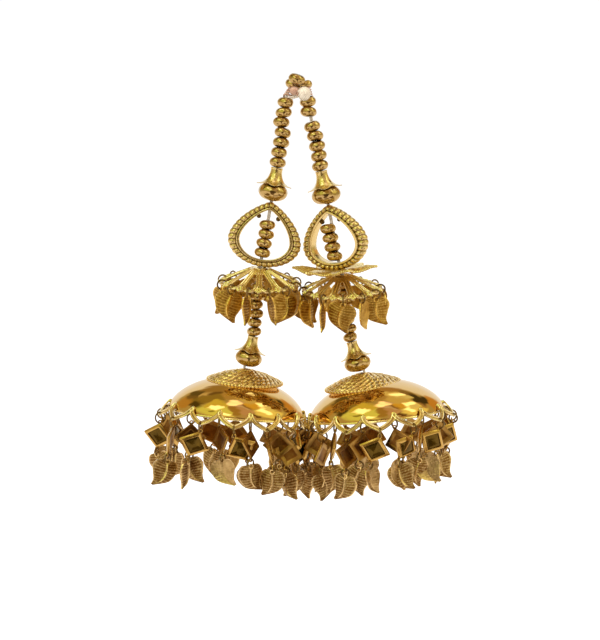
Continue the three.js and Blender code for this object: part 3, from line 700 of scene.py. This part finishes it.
# Across each row the leaf runs from its near edge over the midrib to its far edge. Slanted waves make
# the side veins, a narrow ridge the midrib, and the leaf cups away from its face towards the edges.
# Its own axes: x across, y through it towards the back, z up.
def leafShape(mirrored):
    share = np.linspace(0, 1, leaf["rows"]) ** 0.9
    midrib, near, far = (smoothThrough(leaf[name], share)[:, None] for name in ("midrib", "near", "far"))
    across = np.linspace(-1, 1, 2 * leaf["halfColumns"] - 1)[None, :, None]
    flat = np.where(across < 0, midrib + (near - midrib) * -across, midrib + (far - midrib) * across)
    off, down = np.abs(across[..., 0]), share[:, None]
    wave = np.cos(2 * np.pi * leaf["veins"] * (down ** 0.9 + 0.22 * off ** 1.3 - 0.34 * off))
    fade = 1.0  # the veins fade out at the midrib, the edges, the top and the tip
    for distance in (off * 6, (1.02 - off) * 5, down * 7, (1 - down) * 6):
        fade = fade * np.clip(distance, 0, 1)
    broken = 0.62 + 0.38 * np.cos(2 * np.pi * (5.3 * off + 2.1 * down)) * np.cos(2 * np.pi * 3.7 * down + 1)
    vein = (np.clip(0.5 + 0.5 * wave, 0, 1) ** 3 * broken - 0.12) * fade
    rib = np.exp(-(off / 0.08) ** 2) * np.clip((1 - down) * 5, 0, 1)
    rim = np.exp(-((1 - off) / 0.09) ** 2)
    lift = leaf["vein"] * vein + leaf["rib"] * rib + leaf["rim"] * rim
    cup = leaf["cup"] * (off ** 2 * np.sin(np.pi * np.clip(down, 0.05, 0.97)) + 0.9 * down ** 3)
    half = leaf["thickness"] / 2
    wide = flat[..., 0] * (-1 if mirrored else 1)
    face = np.stack([wide, cup - lift - half, -flat[..., 1]], -1)
    back = np.stack([wide, cup - 0.35 * lift + half, -flat[..., 1]], -1)
    relief = np.clip(0.15 + 0.75 * np.clip(vein, 0, 1) + 0.85 * rib + 0.7 * rim, 0, 1)
    backRelief = np.broadcast_to(0.5 + 0.2 * rim[:, ::-1], relief.shape)
    body = closedPart(np.concatenate([face, back[:, ::-1]], 1), np.concatenate([relief, backRelief], 1))
    return [body, ringPart(front * 0.3, front, *leaf["eyelet"], 14, 6, relief=0.8)]


leafShapes = {mirrored: leafShape(mirrored) for mirrored in (False, True)}


# A leaf hung by its eyelet from `hook`, its face towards `facing`, rolled and tipped by some degrees.
def leafParts(hook, facing, mirrored, roll, tip, scale):
    roll, tip = np.radians((roll, tip))
    facing = unit(facing * [1, 1, 0])
    upward = unit(up * np.cos(tip) + facing * np.sin(tip))
    across = unit(np.cross(-facing, upward))
    upward = unit(upward * np.cos(roll) + across * np.sin(roll))
    place = placeAt(hook, upward, np.cross(-facing, upward))
    return [putPart(place, (points * scale, quads, relief)) for points, quads, relief in leafShapes[mirrored]]


jumpRing = {"radius": 2.35, "wire": 0.42}


# The level direction that lies so many degrees round from the front, towards +X.
def compass(degrees):
    return np.array([np.sin(np.radians(degrees)), -np.cos(np.radians(degrees)), 0.0])


# Which way each umbrella leaf faces, in degrees round from the front, and its roll, in the order
# of the rim. A leaf near 90 or -90 is seen edge on, one near 180 shows its plain back.
leafTurns = {
    "left": [(105, 4), (150, -5), (175, 3), (200, 6), (225, -6), (-100, 4), (-42, 10), (8, 14), (76, 2),
             (-80, -5), (34, 6), (118, -4)],
    "right": [(120, 5), (160, -3), (180, 6), (215, -6), (-120, 5), (-78, 0), (172, 8), (60, -3), (86, 3),
              (-8, 12), (-110, 6), (18, -8)],
}
umbrellaSeat = {"radius": 18.75, "height": -7.15, "leafScale": (1.1, 1.0, 1.06)}

for side in ("left", "right"):
    place = turnedPlace(f"{side}_umbrella")
    place = tippedPlace(place, place[0], umbrella["tip"])
    phase = phaseOf(f"{side}_umbrella", place, umbrella["petals"])
    makePiece(f"{side}_openwork_umbrella", umbrellaParts(place, phase), rubbedGold, "root",
              [f"{side}_umbrella"])
    rings, leaves = [], []
    for i, (turn, roll) in enumerate(leafTurns[side]):
        angle = np.radians(phase + round((15 - phase) / 30) * 30 + i * 30)
        seat = put(place, around(umbrellaSeat["radius"], angle, umbrellaSeat["height"]))
        out = unit((seat - place[0]) * [1, 1, 0])
        centre = seat - up * 0.6
        rings.append(ringPart(centre, np.cross(out, up), jumpRing["radius"], jumpRing["wire"]))
        hook = centre - up * (jumpRing["radius"] + 0.2)
        leaves += leafParts(hook, compass(turn), i % 2 == 1, roll, 6 * np.sin(2.3 * i),
                            umbrellaSeat["leafScale"])
    node = f"{side}_umbrella_leaves"
    makePiece(f"{side}_umbrella_rings", rings, wireGold, "root", [node])
    makePiece(f"{side}_umbrella_leaf_charms", leaves, charmGold, "root", [node])
print("umbrellas and their leaves made")


dome = {
    "sides": 144, "crown": 32.2, "rim": 33.4, "rimHeight": 14.6, "wall": 0.8, "hole": 3.5,
    "roundness": (2.0, 0.6),  # powers of its profile; at 2 and 0.5 it is an ellipse
    "made": {"crown": 34.0, "rim": 33.5, "roundness": (1.7, 0.7)},  # the plain dome it stands for
    "righting": {"left": -4.2, "right": 4.5},  # degrees the dome settles back towards upright
    "settle": {"left": np.array([0.4, 0, -0.9]), "right": np.array([-1.2, 0, 0.2])},
    "diskRighting": {"left": -4.6, "right": 5.2}, "diskTip": 3.0,
    "diskShift": {"left": np.array([3.0, 0, 0.3]), "right": np.array([-4.2, 0, -0.65])},
}
diskCap = {
    "inner": 3.1, "edge": 18.2, "sides": 300, "rows": 64, "thickness": 0.55, "rimGrains": 60,
    "ropes": [(4.9, 9), (8.0, 15), (11.1, 21), (14.2, 27), (17.0, 32)], "ropeWidth": 3.4,  # (radius, strands)
    "bulge": 1.0, "slant": 1.5,  # how far round a strand runs over its cord: pi is one strand's width
    "sink": 1.8,  # how far the disk lies below the CAD's crown
    # (radius, height) over the disk and round its collar
    "cone": [(3.1, 35.1), (5.5, 34.15), (8, 33.6), (10, 33.25), (14, 31.6), (18.4, 29.8)],
    "collar": [(1.2, 34.55), (1.1, 36.0), (1.9, 36.05), (2.5, 35.95), (3.1, 35.65), (3.2, 35.25),
               (3.8, 34.85), (3.6, 34.35), (1.6, 34.35)],
}


# The share of the dome's height left at a radius is 1 less a power of the share of the way out to the
# rim, all to another power.
def domeHeight(radius, crown, rim, roundness=dome["roundness"]):
    inner, outer = roundness
    left = np.clip(1 - (radius / rim) ** inner, 0, 1) ** outer
    return dome["rimHeight"] + (crown - dome["rimHeight"]) * left


# The axis goes squarely through the ring of CAD points round the hole at the crown.
def domePlace(side):
    points = cadPoints(f"{side}_dome")
    rough = turnedPlace(f"{side}_dome")
    crown = points[np.argsort(-inside(rough, points)[:, 2])[:28]]
    centre = crown.mean(0)
    axis = np.linalg.svd(crown - centre)[2][2]
    axis = axis * np.sign(axis[2])
    return placeAt(centre - axis * domeHeight(dome["hole"], **dome["made"]), axis)


# The dome's wall: the same profile twice, the inner one a wall smaller.
def shellPart(place):
    share = np.sin(np.linspace(0, np.pi / 2, 34)) ** 1.2
    faces = []
    for inset in (0.0, dome["wall"]):
        rim = dome["rim"] - inset * 1.1
        radius = dome["hole"] + (rim - dome["hole"]) * share
        height = domeHeight(radius, dome["crown"] - inset, rim)
        faces.append(turnedGrid(np.stack([radius, height], -1), dome["sides"]))
    return sheetPart(place, *faces, 1.0, 0.3)


# The disk over the crown: rings of twisted cord laid side by side on a shallow cone. Across a cord the
# height is a half circle, and slanted strands cut it into overlapping lozenges.
def diskParts(place):
    angle = roundAngles(diskCap["sides"])
    radius = np.linspace(diskCap["inner"], diskCap["edge"], diskCap["rows"])[:, None]
    cone = np.interp(radius, *np.transpose(diskCap["cone"]))
    height, relief = 0.0, 0.12
    for k, (middle, strands) in enumerate(diskCap["ropes"]):
        across = (radius - middle) / (diskCap["ropeWidth"] / 2)
        cord = np.sqrt(np.clip(1 - across ** 2, 0, 1))
        slant = diskCap["slant"] * np.sin(1.35 * np.clip(across, -1, 1))
        twist = np.abs(np.cos(strands * angle / 2 + slant + 0.9 * k))
        height = np.maximum(height, cord * (0.2 + 0.8 * twist) * diskCap["bulge"])
        relief = np.maximum(relief, np.clip(cord ** 0.6 * twist ** 1.3, 0, 1))
    top = around(radius, angle, cone + height)
    parts = [sheetPart(place, top, around(radius, angle, cone - diskCap["thickness"]), relief, 0.9)]
    turn = roundAngles(diskCap["rimGrains"] * 6)
    ridge = np.abs(np.cos(diskCap["rimGrains"] * turn[:, None] / 2 + roundAngles(10) / 2)) ** 0.6
    section = roundSection(1.0, 10) * (0.5 + 0.35 * ridge)[..., None]
    rim = sweptGrid(around(diskCap["edge"], turn, diskCap["cone"][-1][1]), up, section, closed=True)
    parts.append(closedPart(put(place, rim), ridge, wrapRows=True))
    parts.append(closedPart(put(place, turnedGrid(diskCap["collar"], 48)), 0.8, wrapRows=True))
    return parts


# Where a CAD drop's parts lie, down from its highest point and from its ring.
drop = {"ringReach": 2.8, "ringBand": 1.5, "stoneDown": 8.5, "stoneBand": 0.9, "leafFrom": 20.5}


# Where a drop's ring hangs, and whether its leaf is a mirrored one: the square's thin direction gives
# the way it faces, and the leaf's tip lies to one side of its middle as seen from there.
def dropPlace(node):
    points = cadPoints(node)
    ringLevel = points[:, 2].max() - drop["ringReach"]
    ringMiddle = points[points[:, 2] > ringLevel - drop["ringBand"]].mean(0)
    corners = points[np.abs(points[:, 2] - (ringLevel - drop["stoneDown"])) < drop["stoneBand"]]
    far = np.linalg.norm(corners - corners.mean(0), axis=1)
    wide, narrow = corners[far > np.median(far)], corners[far <= np.median(far)]
    facing = (narrow.mean(0) - wide.mean(0)) * [1, 1, 0]
    low = points[points[:, 2] < ringLevel - drop["leafFrom"]]
    leafFacing = principal(low)[1][:, 0] * [1, 1, 0]
    leafFacing = leafFacing * np.sign(leafFacing @ facing)
    tip = low[low[:, 2].argmin()] - low.mean(0)
    return np.append(ringMiddle[:2], ringLevel), bool(tip @ np.cross(-leafFacing, up) > 0)


setting = {
    "across": 7.8, "high": 6.8,  # half diagonals
    # (share of the half diagonal, height) from the middle of the back, up the wall, over the sloping
    # frame and down to the glass
    "outline": [(0.0, -0.2), (0.55, -0.2), (0.62, -0.6), (0.96, -0.7), (1.0, -0.35), (1.0, 0.25),
                (0.97, 0.45), (0.80, 1.15), (0.69, 1.25), (0.66, 0.95), (0.64, 0.55), (0.0, 0.55)],
    "relief": [0.25, 0.2, 0.45, 0.5, 0.6, 0.75, 0.95, 0.85, 1.0, 0.3, 0.1, 0.1],
    "glass": [(0.0, 0.5), (0.64, 0.5), (0.64, 0.75), (0.60, 0.88), (0.0, 0.88)],
    "eyelet": {"out": 0.55, "size": (0.9, 0.36)},  # radius and wire of the eyes at its two ends
}


# A square piece hung by a corner: a profile carried round four corners, each clipped a little so
# that it isn't a knife.
def squareGrid(profile):
    clip = np.radians(2.2)
    turn = (np.arange(4)[:, None] * np.pi / 2 + np.array([-clip, clip])).ravel()
    profile = np.asarray(profile, float)
    return around(profile[:, :1], turn, profile[:, 1:]) * [setting["high"], setting["across"], 1]


squareFrame = closedPart(squareGrid(setting["outline"]), np.array(setting["relief"])[:, None])
squareGlass = closedPart(squareGrid(setting["glass"]))


lace = {
    "strip": 2.3, "steps": 44, "rim": 0.6, "rise": 3.0, "clear": 0.7, "ball": 1.0, "ballOut": 0.3,
    "lift": 0.6, "over": 0.15,  # how far each petal's tip lies above and beyond its drop's ring
    "set": 32.5,  # the dome's radius where the petals' ends lie on it, `rise` above its rim
}


# One petal: from the dome out to the point over its drop and back, its reach falling off as a power
# of the angle so that it leaves the dome steeply and ends in a soft point.
def lacePart(place, petal, halfStep):
    share = np.sin(np.linspace(-np.pi / 2, np.pi / 2, 400))
    reach = (1 - np.abs(share)) ** 0.52
    endRadius, endHeight = lace["set"] + lace["clear"], dome["rimHeight"] + lace["rise"]
    radius = endRadius + (petal["radius"] - endRadius) * reach
    height = endHeight + (petal["height"] - endHeight) * reach
    path = evenly(around(radius, petal["angle"] + share * halfStep, height), lace["steps"])
    return stripPart(place, path, unit(unit(path * [1, 1, 0]) + 0.6 * up), [lace["strip"] / 2, 1.1])


# Which way the setting and the leaf of each drop face, in degrees round from the front, and the
# leaf's roll, in the order of the drops. Each has swung on its rings as it liked.
dropTurns = {
    "left": [(-80, 60, 6), (150, 20, -8), (170, 200, 4), (186, 150, -5), (-165, -30, 8), (-140, 180, -4),
             (-100, -60, 6), (-20, -30, -6), (-95, 22, 9), (14, 72, -3), (-8, 4, -10), (86, -22, 5),
             (205, -50, -7), (60, 30, 4)],
    "right": [(75, -40, 5), (-122, 15, -8), (226, -35, 6), (8, 238, 3), (48, -5, -9), (34, 196, 8),
              (40, 22, -6), (95, 60, 4), (140, 170, -5), (160, -20, 7), (175, 185, -4), (-150, 30, 8),
              (-130, 200, -6), (-100, -70, 5)],
}
# How far each square hangs rolled and leaning forward, in degrees.
stoneHang = {
    "left": [(12, 10), (-16, 14), (20, -12), (-14, 10), (16, 18), (-20, -8), (12, 14), (14, 16), (-16, -10),
             (22, 18), (-24, 22), (14, -12), (-18, 12), (16, 10)],
    "right": [(-12, 12), (16, -10), (-20, 14), (18, 16), (24, 20), (28, 14), (22, 18), (16, 12), (-14, 12),
              (18, -14), (-16, 10), (14, 12), (-20, -10), (12, 14)],
}
# Ring radii; how far the rings overlap what they join, at the lace, at a square's eye and at a leaf.
hang = {
    "upperRing": 2.4, "lowerRing": 1.8, "innerRing": 2.3, "ringSpread": 0.25, "overlap": (0.7, 0.4, 0.1),
    "leafScale": (0.98, 1.0, 1.0), "roll": 2.2,
    # the drops between two petals: how far outside and below the rim, and how far back they reach
    "innerOut": 0.4, "innerDown": 0.3, "innerBack": 4.0,
}
# The bead that stops the thread inside the dome: its radius and height, how far it has slipped down,
# and the thread's end above and below it with the knot that holds it.
stopBead = {
    "size": (4.2, 4.2), "down": 2.4, "widest": 3.6, "tail": (10, 7), "wire": 0.6,
    "knot": 1.3, "knotDown": 3.2,
}


# The petals' strips, a small ball where each two of them meet, and the wire round the rim.
def laceParts(place, petals, halfStep):
    parts = [lacePart(place, petal, halfStep) for petal in petals]
    radius, height = lace["set"] + lace["ballOut"], dome["rimHeight"] + lace["rise"]
    for petal in petals:
        seat = around(radius, petal["angle"] + halfStep, height)
        parts.append(ballPart(put(place, seat), lace["ball"], 8))
    rimLine = around(dome["rim"], roundAngles(144), dome["rimHeight"])
    return parts + [putPart(place, tubePart(rimLine, lace["rim"], 8, outward=up, closed=True))]


# Drops hung from the rim between two petals, in front only. They face inwards, waves of their
# number swinging each one a little differently.
def innerDrops(place, petals, halfStep, heart):
    found = []
    radius, height = dome["rim"] + hang["innerOut"], dome["rimHeight"] - hang["innerDown"]
    for i, petal in enumerate(petals):
        tip = put(place, around(radius, petal["angle"] + halfStep, height))
        out = tip - heart
        if out[1] > hang["innerBack"]:
            continue
        outward = np.degrees(np.arctan2(out[0], -out[1]))
        turns = (outward + 180 + 48 * (-1) ** i, outward + (180 if i % 3 == 0 else 0) + 14 * np.sin(2.7 * i),
                 7 * np.sin(3.7 * i))
        tilts = (15 * np.sin(2.2 * i + 1), 8 * np.sin(1.4 * i))
        found.append((tip, hang["innerRing"], turns, tilts, i % 2 == 0))
    return found


# Below each tip a ring, a square with an eye at its upper and lower corner, a second ring and a leaf.
# Slow waves of the drop's number vary the rings' radii and the leaves' tipping.
def fringeParts(hung, heart, phase):
    atTip, atEye, atLeaf = hang["overlap"]
    rings, frames, glasses, leaves = [], [], [], []
    for i, (tip, wide, (stoneTurn, leafTurn, leafRoll), tilts, mirrored) in enumerate(hung):
        face, leafFace = compass(stoneTurn), compass(leafTurn)
        out = unit((tip - heart) * [1, 1, 0])
        wide = wide + hang["ringSpread"] * np.sin(4.1 * i + phase)
        upper = tip - up * (wide - atTip)
        rings.append(ringPart(upper, np.cross(out + 0.4 * face, up), wide, jumpRing["wire"]))
        roll, lean = np.radians(tilts)
        upward = unit(up * np.cos(roll) + np.cross(-face, up) * np.sin(roll) + face * np.sin(lean))
        normal = unit(face - (face @ upward) * upward)
        eyeReach = upward * (setting["high"] + setting["eyelet"]["out"])
        square = placeAt(upper - up * (wide - atEye) - eyeReach, normal, upward)
        frames.append(putPart(square, squareFrame))
        glasses.append(putPart(square, squareGlass))
        for eye in (square[0] + eyeReach, square[0] - eyeReach):
            frames.append(ringPart(eye, normal, *setting["eyelet"]["size"], 12, 6, relief=0.7))
        wide = hang["lowerRing"] + hang["ringSpread"] * np.sin(3.3 * i)
        lower = square[0] - eyeReach - up * (wide - atEye)
        rings.append(ringPart(lower, np.cross(unit(face + leafFace + 0.01), up), wide, jumpRing["wire"]))
        hook = lower - up * (wide - atLeaf)
        leaves += leafParts(hook, leafFace, mirrored, leafRoll * hang["roll"], 5 * np.sin(2.9 * i),
                            hang["leafScale"])
    return rings, frames, glasses, leaves


for side in ("left", "right"):
    body = f"{side}_dome_body"
    cadPlace = domePlace(side)
    middle = put(cadPlace, (0, 0, dome["rimHeight"]))
    settle = dome["settle"][side]
    heart = middle + settle
    place = movedPlace(leantPlace(cadPlace, middle, dome["righting"][side]), settle)
    nodes = [f"{side}_drop_{i:02d}" for i in range(1, 15)]
    hung, petals = [], []
    for node, turns, tilts in zip(nodes, dropTurns[side], stoneHang[side]):
        ringCentre, mirrored = dropPlace(node)
        tip = leant(ringCentre, middle, dome["righting"][side]) + settle + up * lace["lift"]
        hung.append((tip, hang["upperRing"], turns, tilts, mirrored))
        x, y, z = inside(place, tip)
        petals.append({"radius": np.hypot(x, y) + lace["over"], "height": z, "angle": np.arctan2(y, x)})
    halfStep = np.pi / len(petals)
    parts = laceParts(place, petals, halfStep)
    makePiece(f"{side}_lace_edge", parts, rubbedGold, body, [f"{side}_dome"])
    makePiece(f"{side}_dome_shell", [shellPart(place)], domeGold, body, [f"{side}_dome"])

    crownHeight = dome["made"]["crown"]
    disk = turnedPlace(f"{side}_disk_cap")
    disk = movedPlace(disk, -disk[1][2] * (crownHeight + diskCap["sink"]))
    disk = leantPlace(disk, middle, dome["diskRighting"][side])
    disk = tippedPlace(disk, put(disk, (0, 0, crownHeight)), dome["diskTip"])
    disk = movedPlace(disk, dome["diskShift"][side] + settle)
    makePiece(f"{side}_woven_disk", diskParts(disk), wovenGold, body, [f"{side}_disk_cap"])

    node = f"{side}_stop_bead"
    stopPlace = turnedPlace(node)
    local = inside(stopPlace, cadPoints(node))
    level = local[np.hypot(local[:, 0], local[:, 1]) > stopBead["widest"]][:, 2].mean()
    seat = put(stopPlace, (0, 0, level)) + settle - up * stopBead["down"]
    axis = stopPlace[1][2]
    parts = [beadPart(seat, -axis, *stopBead["size"], np.random.default_rng(5))]
    makePiece(f"{side}_inner_stop_bead", parts, beadGold, body, [node])
    above, below = stopBead["tail"]
    parts = [tubePart(np.linspace(seat + axis * above, seat - axis * below, 8), stopBead["wire"]),
             ballPart(seat - axis * stopBead["knotDown"], stopBead["knot"])]
    makePiece(f"{side}_thread_end", parts, clearNylon, body, [node])

    hung += innerDrops(place, petals, halfStep, heart)
    rings, frames, glasses, leaves = fringeParts(hung, heart, len(side))
    makePiece(f"{side}_fringe_rings", rings, wireGold, body, nodes)
    makePiece(f"{side}_square_settings", frames, settingGold, body, nodes)
    makePiece(f"{side}_square_mirrors", glasses, mirrorGlass, body, nodes)
    makePiece(f"{side}_fringe_leaf_charms", leaves, fringeGold, body, nodes)
print("domes, lace and fringes made")


topBeads = {
    # share of the way across the CAD cluster's box, radius, height, and degrees tilted
    "front left": ((0.46, 0.33, 0.66), 4.25, 5.0, 12),
    "right": ((0.71, 0.62, 0.30), 3.3, 4.2, -20),
    "back": ((0.35, 0.88, 0.34), 4.0, 4.8, 18),
}
low, high = (np.array(corner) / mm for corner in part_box("top_beads"))
rng = np.random.default_rng(21)
topSeats = []
parts = []
for share, radius, height, tilt in topBeads.values():
    seat = low + (high - low) * share
    topSeats.append(seat)
    parts.append(beadPart(seat, -leant(up, 0, tilt), radius, height, rng))
makePiece("top_bead_cluster", parts, beadGold, "root", ["top_beads"])

knot = {
    "heart": (0.71, 0.36, 0.52), "shift": np.array([0.3, -1.2, -1.2]),
    "lump": (3.3, 3.5), "dents": {"count": 7, "spread": 0.12, "depth": 0.35},
    "loops": [(20, 2.85), (-35, 2.8), (75, 2.9)],  # degrees leaning and radius of the loops round the lump
    "brown": (np.array([-4.6, 1.4, 1.4]), np.array([2.5, 1.9, 2.3])),  # place and size of the brown lump
}
low, high = (np.array(corner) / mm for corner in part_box("top_knot"))
heart = low + (high - low) * knot["heart"] + knot["shift"]


# A coil of thread: a helix of round wire about a line.
def coilPart(fromPoint, toPoint, radius, turns, wire):
    axis = unit(toPoint - fromPoint)
    side = unit(np.cross(axis, front))
    share = np.linspace(0, 1, int(turns * 14))[:, None]
    angle = 2 * np.pi * turns * share
    circling = np.cos(angle) * side + np.sin(angle) * np.cross(axis, side)
    return tubePart(fromPoint + (toPoint - fromPoint) * share + radius * circling, wire, 7, outward=axis)


lump = dented(turnedGrid(halfEllipse(*knot["lump"], 15), 24), np.zeros(3), knot["dents"], rng)
parts = [closedPart(lump + heart)]
for tilt, radius in knot["loops"]:
    axis = leant(up, 0, tilt) - 0.35 * front
    parts.append(ringPart(heart + 0.2 * rng.normal(size=3), axis, radius, 0.55, 26, 8, relief=1.0))
leftTop, leftLine = strandSeats["left", "upper"]
rightTop, rightLine = strandSeats["right", "upper"]
parts += filaments(heart + [-1.5, 0.6, -0.6], leftTop[0] - leftLine * 1.5)
parts += filaments(heart + [1.0, 0.8, -0.5], rightTop[0] - rightLine * 1.5)
makePiece("top_nylon_knot", parts + threads, clearNylon, "root", ["top_knot"])
parts = [coilPart(leftTop[0] - leftLine * 2.2, topSeats[2] + [0.2, -0.8, -1.5], 1.7, 4.5, 0.5),
         coilPart(rightTop[0] - rightLine * 2.2 + [1.2, 0, 0], topSeats[1] + [0.6, -1.2, -1.6], 1.5, 4, 0.48),
         coilPart(topSeats[2] + [1.5, -1.6, -2.0], heart + [-2.2, -0.4, -0.6], 1.1, 3, 0.42),
         ballPart(heart + knot["brown"][0], knot["brown"][1], 14)]
makePiece("top_twisted_thread", parts, brownNylon, "root", ["top_knot"])
print("knot made")


studio = {
    "elevation": 4.2, "distance": 1.395, "lens": 160.0, "aim": (0.5, 0.0, -120.5), "floor": -0.36,
    "world": 1.04, "shellRadius": 2.6,
    # degrees round from the front, height, size and power of each lamp
    "lamps": {"key": (-55, 0.75, 0.7, 14), "fill": (50, 0.7, 0.7, 9)}, "lampReach": 0.9,
}
scene = bpy.context.scene
scene.view_settings.view_transform = "Standard"

camera = bpy.data.objects.new("camera", bpy.data.cameras.new("camera"))
scene.collection.objects.link(camera)
scene.camera = camera
camera.data.lens = studio["lens"]
tiltUp = np.radians(studio["elevation"])
aim = np.array(studio["aim"]) * mm
camera.location = aim + studio["distance"] * np.array([0, -np.cos(tiltUp), np.sin(tiltUp)])
camera.rotation_euler = (np.pi / 2 - tiltUp, 0, 0)

world = bpy.data.worlds.new("studio")
scene.world = world
world.use_nodes = True
skyLight = world.node_tree.nodes["Background"].inputs
skyLight["Color"].default_value = (1, 1, 1, 1)
skyLight["Strength"].default_value = studio["world"]


# A piece of the studio, in metres, that is no part of the object.
def stagePiece(name, part, material):
    mesh = bpy.data.meshes.new(name)
    mesh.from_pydata(part[0], [], part[1].tolist())
    mesh.shade_smooth()
    mesh.materials.append(material)
    piece = bpy.data.objects.new(name, mesh)
    scene.collection.objects.link(piece)
    return piece


# Matt white paper, lit a little from within so that it stays even.
paper, _, _ = newMaterial("pale matt paper", {
    "Base Color": linear("#FFFFFF"), "Roughness": 0.9, "Specular IOR Level": 0.0,
    "Emission Color": (1, 1, 1, 1), "Emission Strength": 0.15})
floorGrid = turnedGrid([(0.001, studio["floor"]), (12, studio["floor"]), (12, studio["floor"] - 0.02),
                        (0.001, studio["floor"] - 0.02)], 64)
floor = stagePiece("floor", closedPart(floorGrid, wrapRows=True), paper)
floor.visible_glossy = False  # metal mirrors the table painted in the room instead

# The room as polished metal mirrors it: a colour for each direction, bent a little by noise.
room, tree = emptyMaterial("studio room")
place = addNode(tree, "TexCoord", {}).outputs["Object"]
straight = addNode(tree, "VectorMath", {0: place}, operation="NORMALIZE").outputs[0]
noise = addNode(tree, "TexNoise", {"Vector": straight, "Scale": 3.4, "Detail": 1.5}).outputs["Color"]
ripple = addNode(tree, "VectorMath", {0: noise, 1: (0.5,) * 3, 2: (-0.25,) * 3}, operation="MULTIPLY_ADD")
bent = addNode(tree, "VectorMath", {0: straight, 1: ripple.outputs[0]}, operation="ADD").outputs[0]
direction = addNode(tree, "VectorMath", {0: bent}, operation="NORMALIZE").outputs[0]


# A round patch about a direction: 1 inside, falling to 0 over the soft edge.
def patchMask(degreesRound, elevation, size, soft):
    level = np.radians(elevation)
    aimed = compass(degreesRound) * np.cos(level) + up * np.sin(level)
    near = addNode(tree, "VectorMath", {0: direction, 1: tuple(aimed)}, operation="DOT_PRODUCT")
    inner, outer = np.cos(np.radians(size)), np.cos(np.radians(size + soft))
    return addNode(tree, "MapRange", {"Value": near.outputs["Value"], "From Min": outer, "From Max": inner},
                   interpolation_type="SMOOTHSTEP").outputs[0]


# What the room holds, each patch painted over those before it: degrees round from the front and up,
# degrees of its middle and of its soft edge, colour, and brightness where it isn't 1.
roomPatches = {
    "paper behind": [(180, 2, 40, 8, "#FFFFFF")],
    "table, with painted shadows and dark things before it": [
        # Its four dark patches are painted shadow that the piece casts on the table, with the darkness of
        # things in front of it.
        (0, -90, 82, 10, "#FFEFD6", 1.1), (-6, -32, 9, 8, "#7A5A30"), (-62, -42, 9, 9, "#8C6C3C"),
        (58, -38, 11, 9, "#806034"), (20, -58, 9, 8, "#94744A")],
    "wall above the paper, with its shelves and a painted reflection of the other dome": [
        (180, 66, 14, 8, "#C2A464"), (-162, 52, 9, 5, "#A88C50"), (174, 50, 8, 5, "#B89458"),
        (158, 60, 6, 4, "#F6E8A0"), (150, 50, 5, 4, "#988050"), (-145, 46, 5, 4, "#6E6034"),
        # The orange patch 133 degrees round and 20 up is a painted reflection of the other dome, not part of
        # the wall.
        (133, 20, 9, 9, "#D8A048"), (-146, 53, 3, 3, "#DCC690"), (-150, 61, 5, 4, "#7C6434"),
        (-128, 43, 8, 5, "#86703E"), (-112, 52, 10, 6, "#92803E"), (-118, 68, 9, 7, "#A08C44"),
        (-94, 42, 9, 7, "#584C22"), (-118, 28, 10, 9, "#C89E50")],
    "left window": [
        (-42, 42, 20, 16, "#E6F088", 1.12), (-58, 68, 11, 6, "#E6D860"), (-8, 17, 9, 6, "#F8F0A0", 1.1),
        (-50, 40, 4, 4, "#B0AC50", 0.9)],
    "wall between the windows": [
        (4, 42, 7, 5, "#BC9C50", 0.9), (8, 58, 8, 6, "#B89650", 0.95), (33, 50, 9, 10, "#D4B094"),
        (28, 25, 7, 9, "#CCB08C"), (46, 76, 9, 6, "#E4D0C4"), (43, 31, 4, 5, "#7C5A30", 0.8),
        (64, 71, 5, 4, "#9C7844")],
    "right window and what stands round it": [
        (76, 37, 16, 12, "#FFF6A0", 1.1), (98, 55, 8, 5, "#FAF2B8"), (84, 68, 7, 5, "#EEC550"),
        (114, 40, 6, 5, "#BC9C6C"), (122, 68, 9, 6, "#E4D08A"), (130, 44, 9, 7, "#4E4428"),
        (140, 60, 3, 4, "#F4F0B8")],
    "lamps": [
        (-48, 59, 2, 8, "#FFFFE0", 2.4), (-18, 32, 2, 9, "#FFFFE0", 2.4), (20, 82, 3, 8, "#FFECD8", 2.2),
        (97, 57, 2, 7, "#FFFFE0", 2.4), (74, 46, 2, 9, "#FFFFE0", 2.4), (160, 60, 2.5, 3, "#FFFFE0", 2.0)],
    "dark side of the room, in front": [(0, 0, 16, 10, "#5E4A30")],
}
glow = linear("#C4B27A")  # the bare walls
for degreesRound, elevation, size, soft, colour, *strength in sum(roomPatches.values(), []):
    tint = tuple(c * (strength or [1.0])[0] for c in linear(colour)[:3]) + (1.0,)
    mask = patchMask(degreesRound, elevation, size, soft)
    glow = addNode(tree, "Mix", {0: mask, 6: glow, 7: tint}, data_type="RGBA").outputs[2]
shine = addNode(tree, "Emission", {"Color": glow, "Strength": 1.0})
addNode(tree, "OutputMaterial", {"Surface": shine.outputs[0]})
roomShell = stagePiece("studio_room", ballPart(np.zeros(3), studio["shellRadius"], 48), room)
for ray in ("camera", "diffuse", "shadow", "transmission", "volume_scatter"):
    setattr(roomShell, "visible_" + ray, False)  # only reflections see the room

for name, (degreesRound, height, size, power) in studio["lamps"].items():
    lamp = bpy.data.objects.new(name, bpy.data.lights.new(name, "AREA"))
    scene.collection.objects.link(lamp)
    lamp.data.size = size
    lamp.data.energy = power
    lamp.location = compass(degreesRound) * studio["lampReach"] + up * height
    toward = Vector((0, 0, -0.12)) - lamp.location
    lamp.rotation_euler = toward.to_track_quat("-Z", "Y").to_euler()
    lamp.visible_glossy = False
print("studio set")
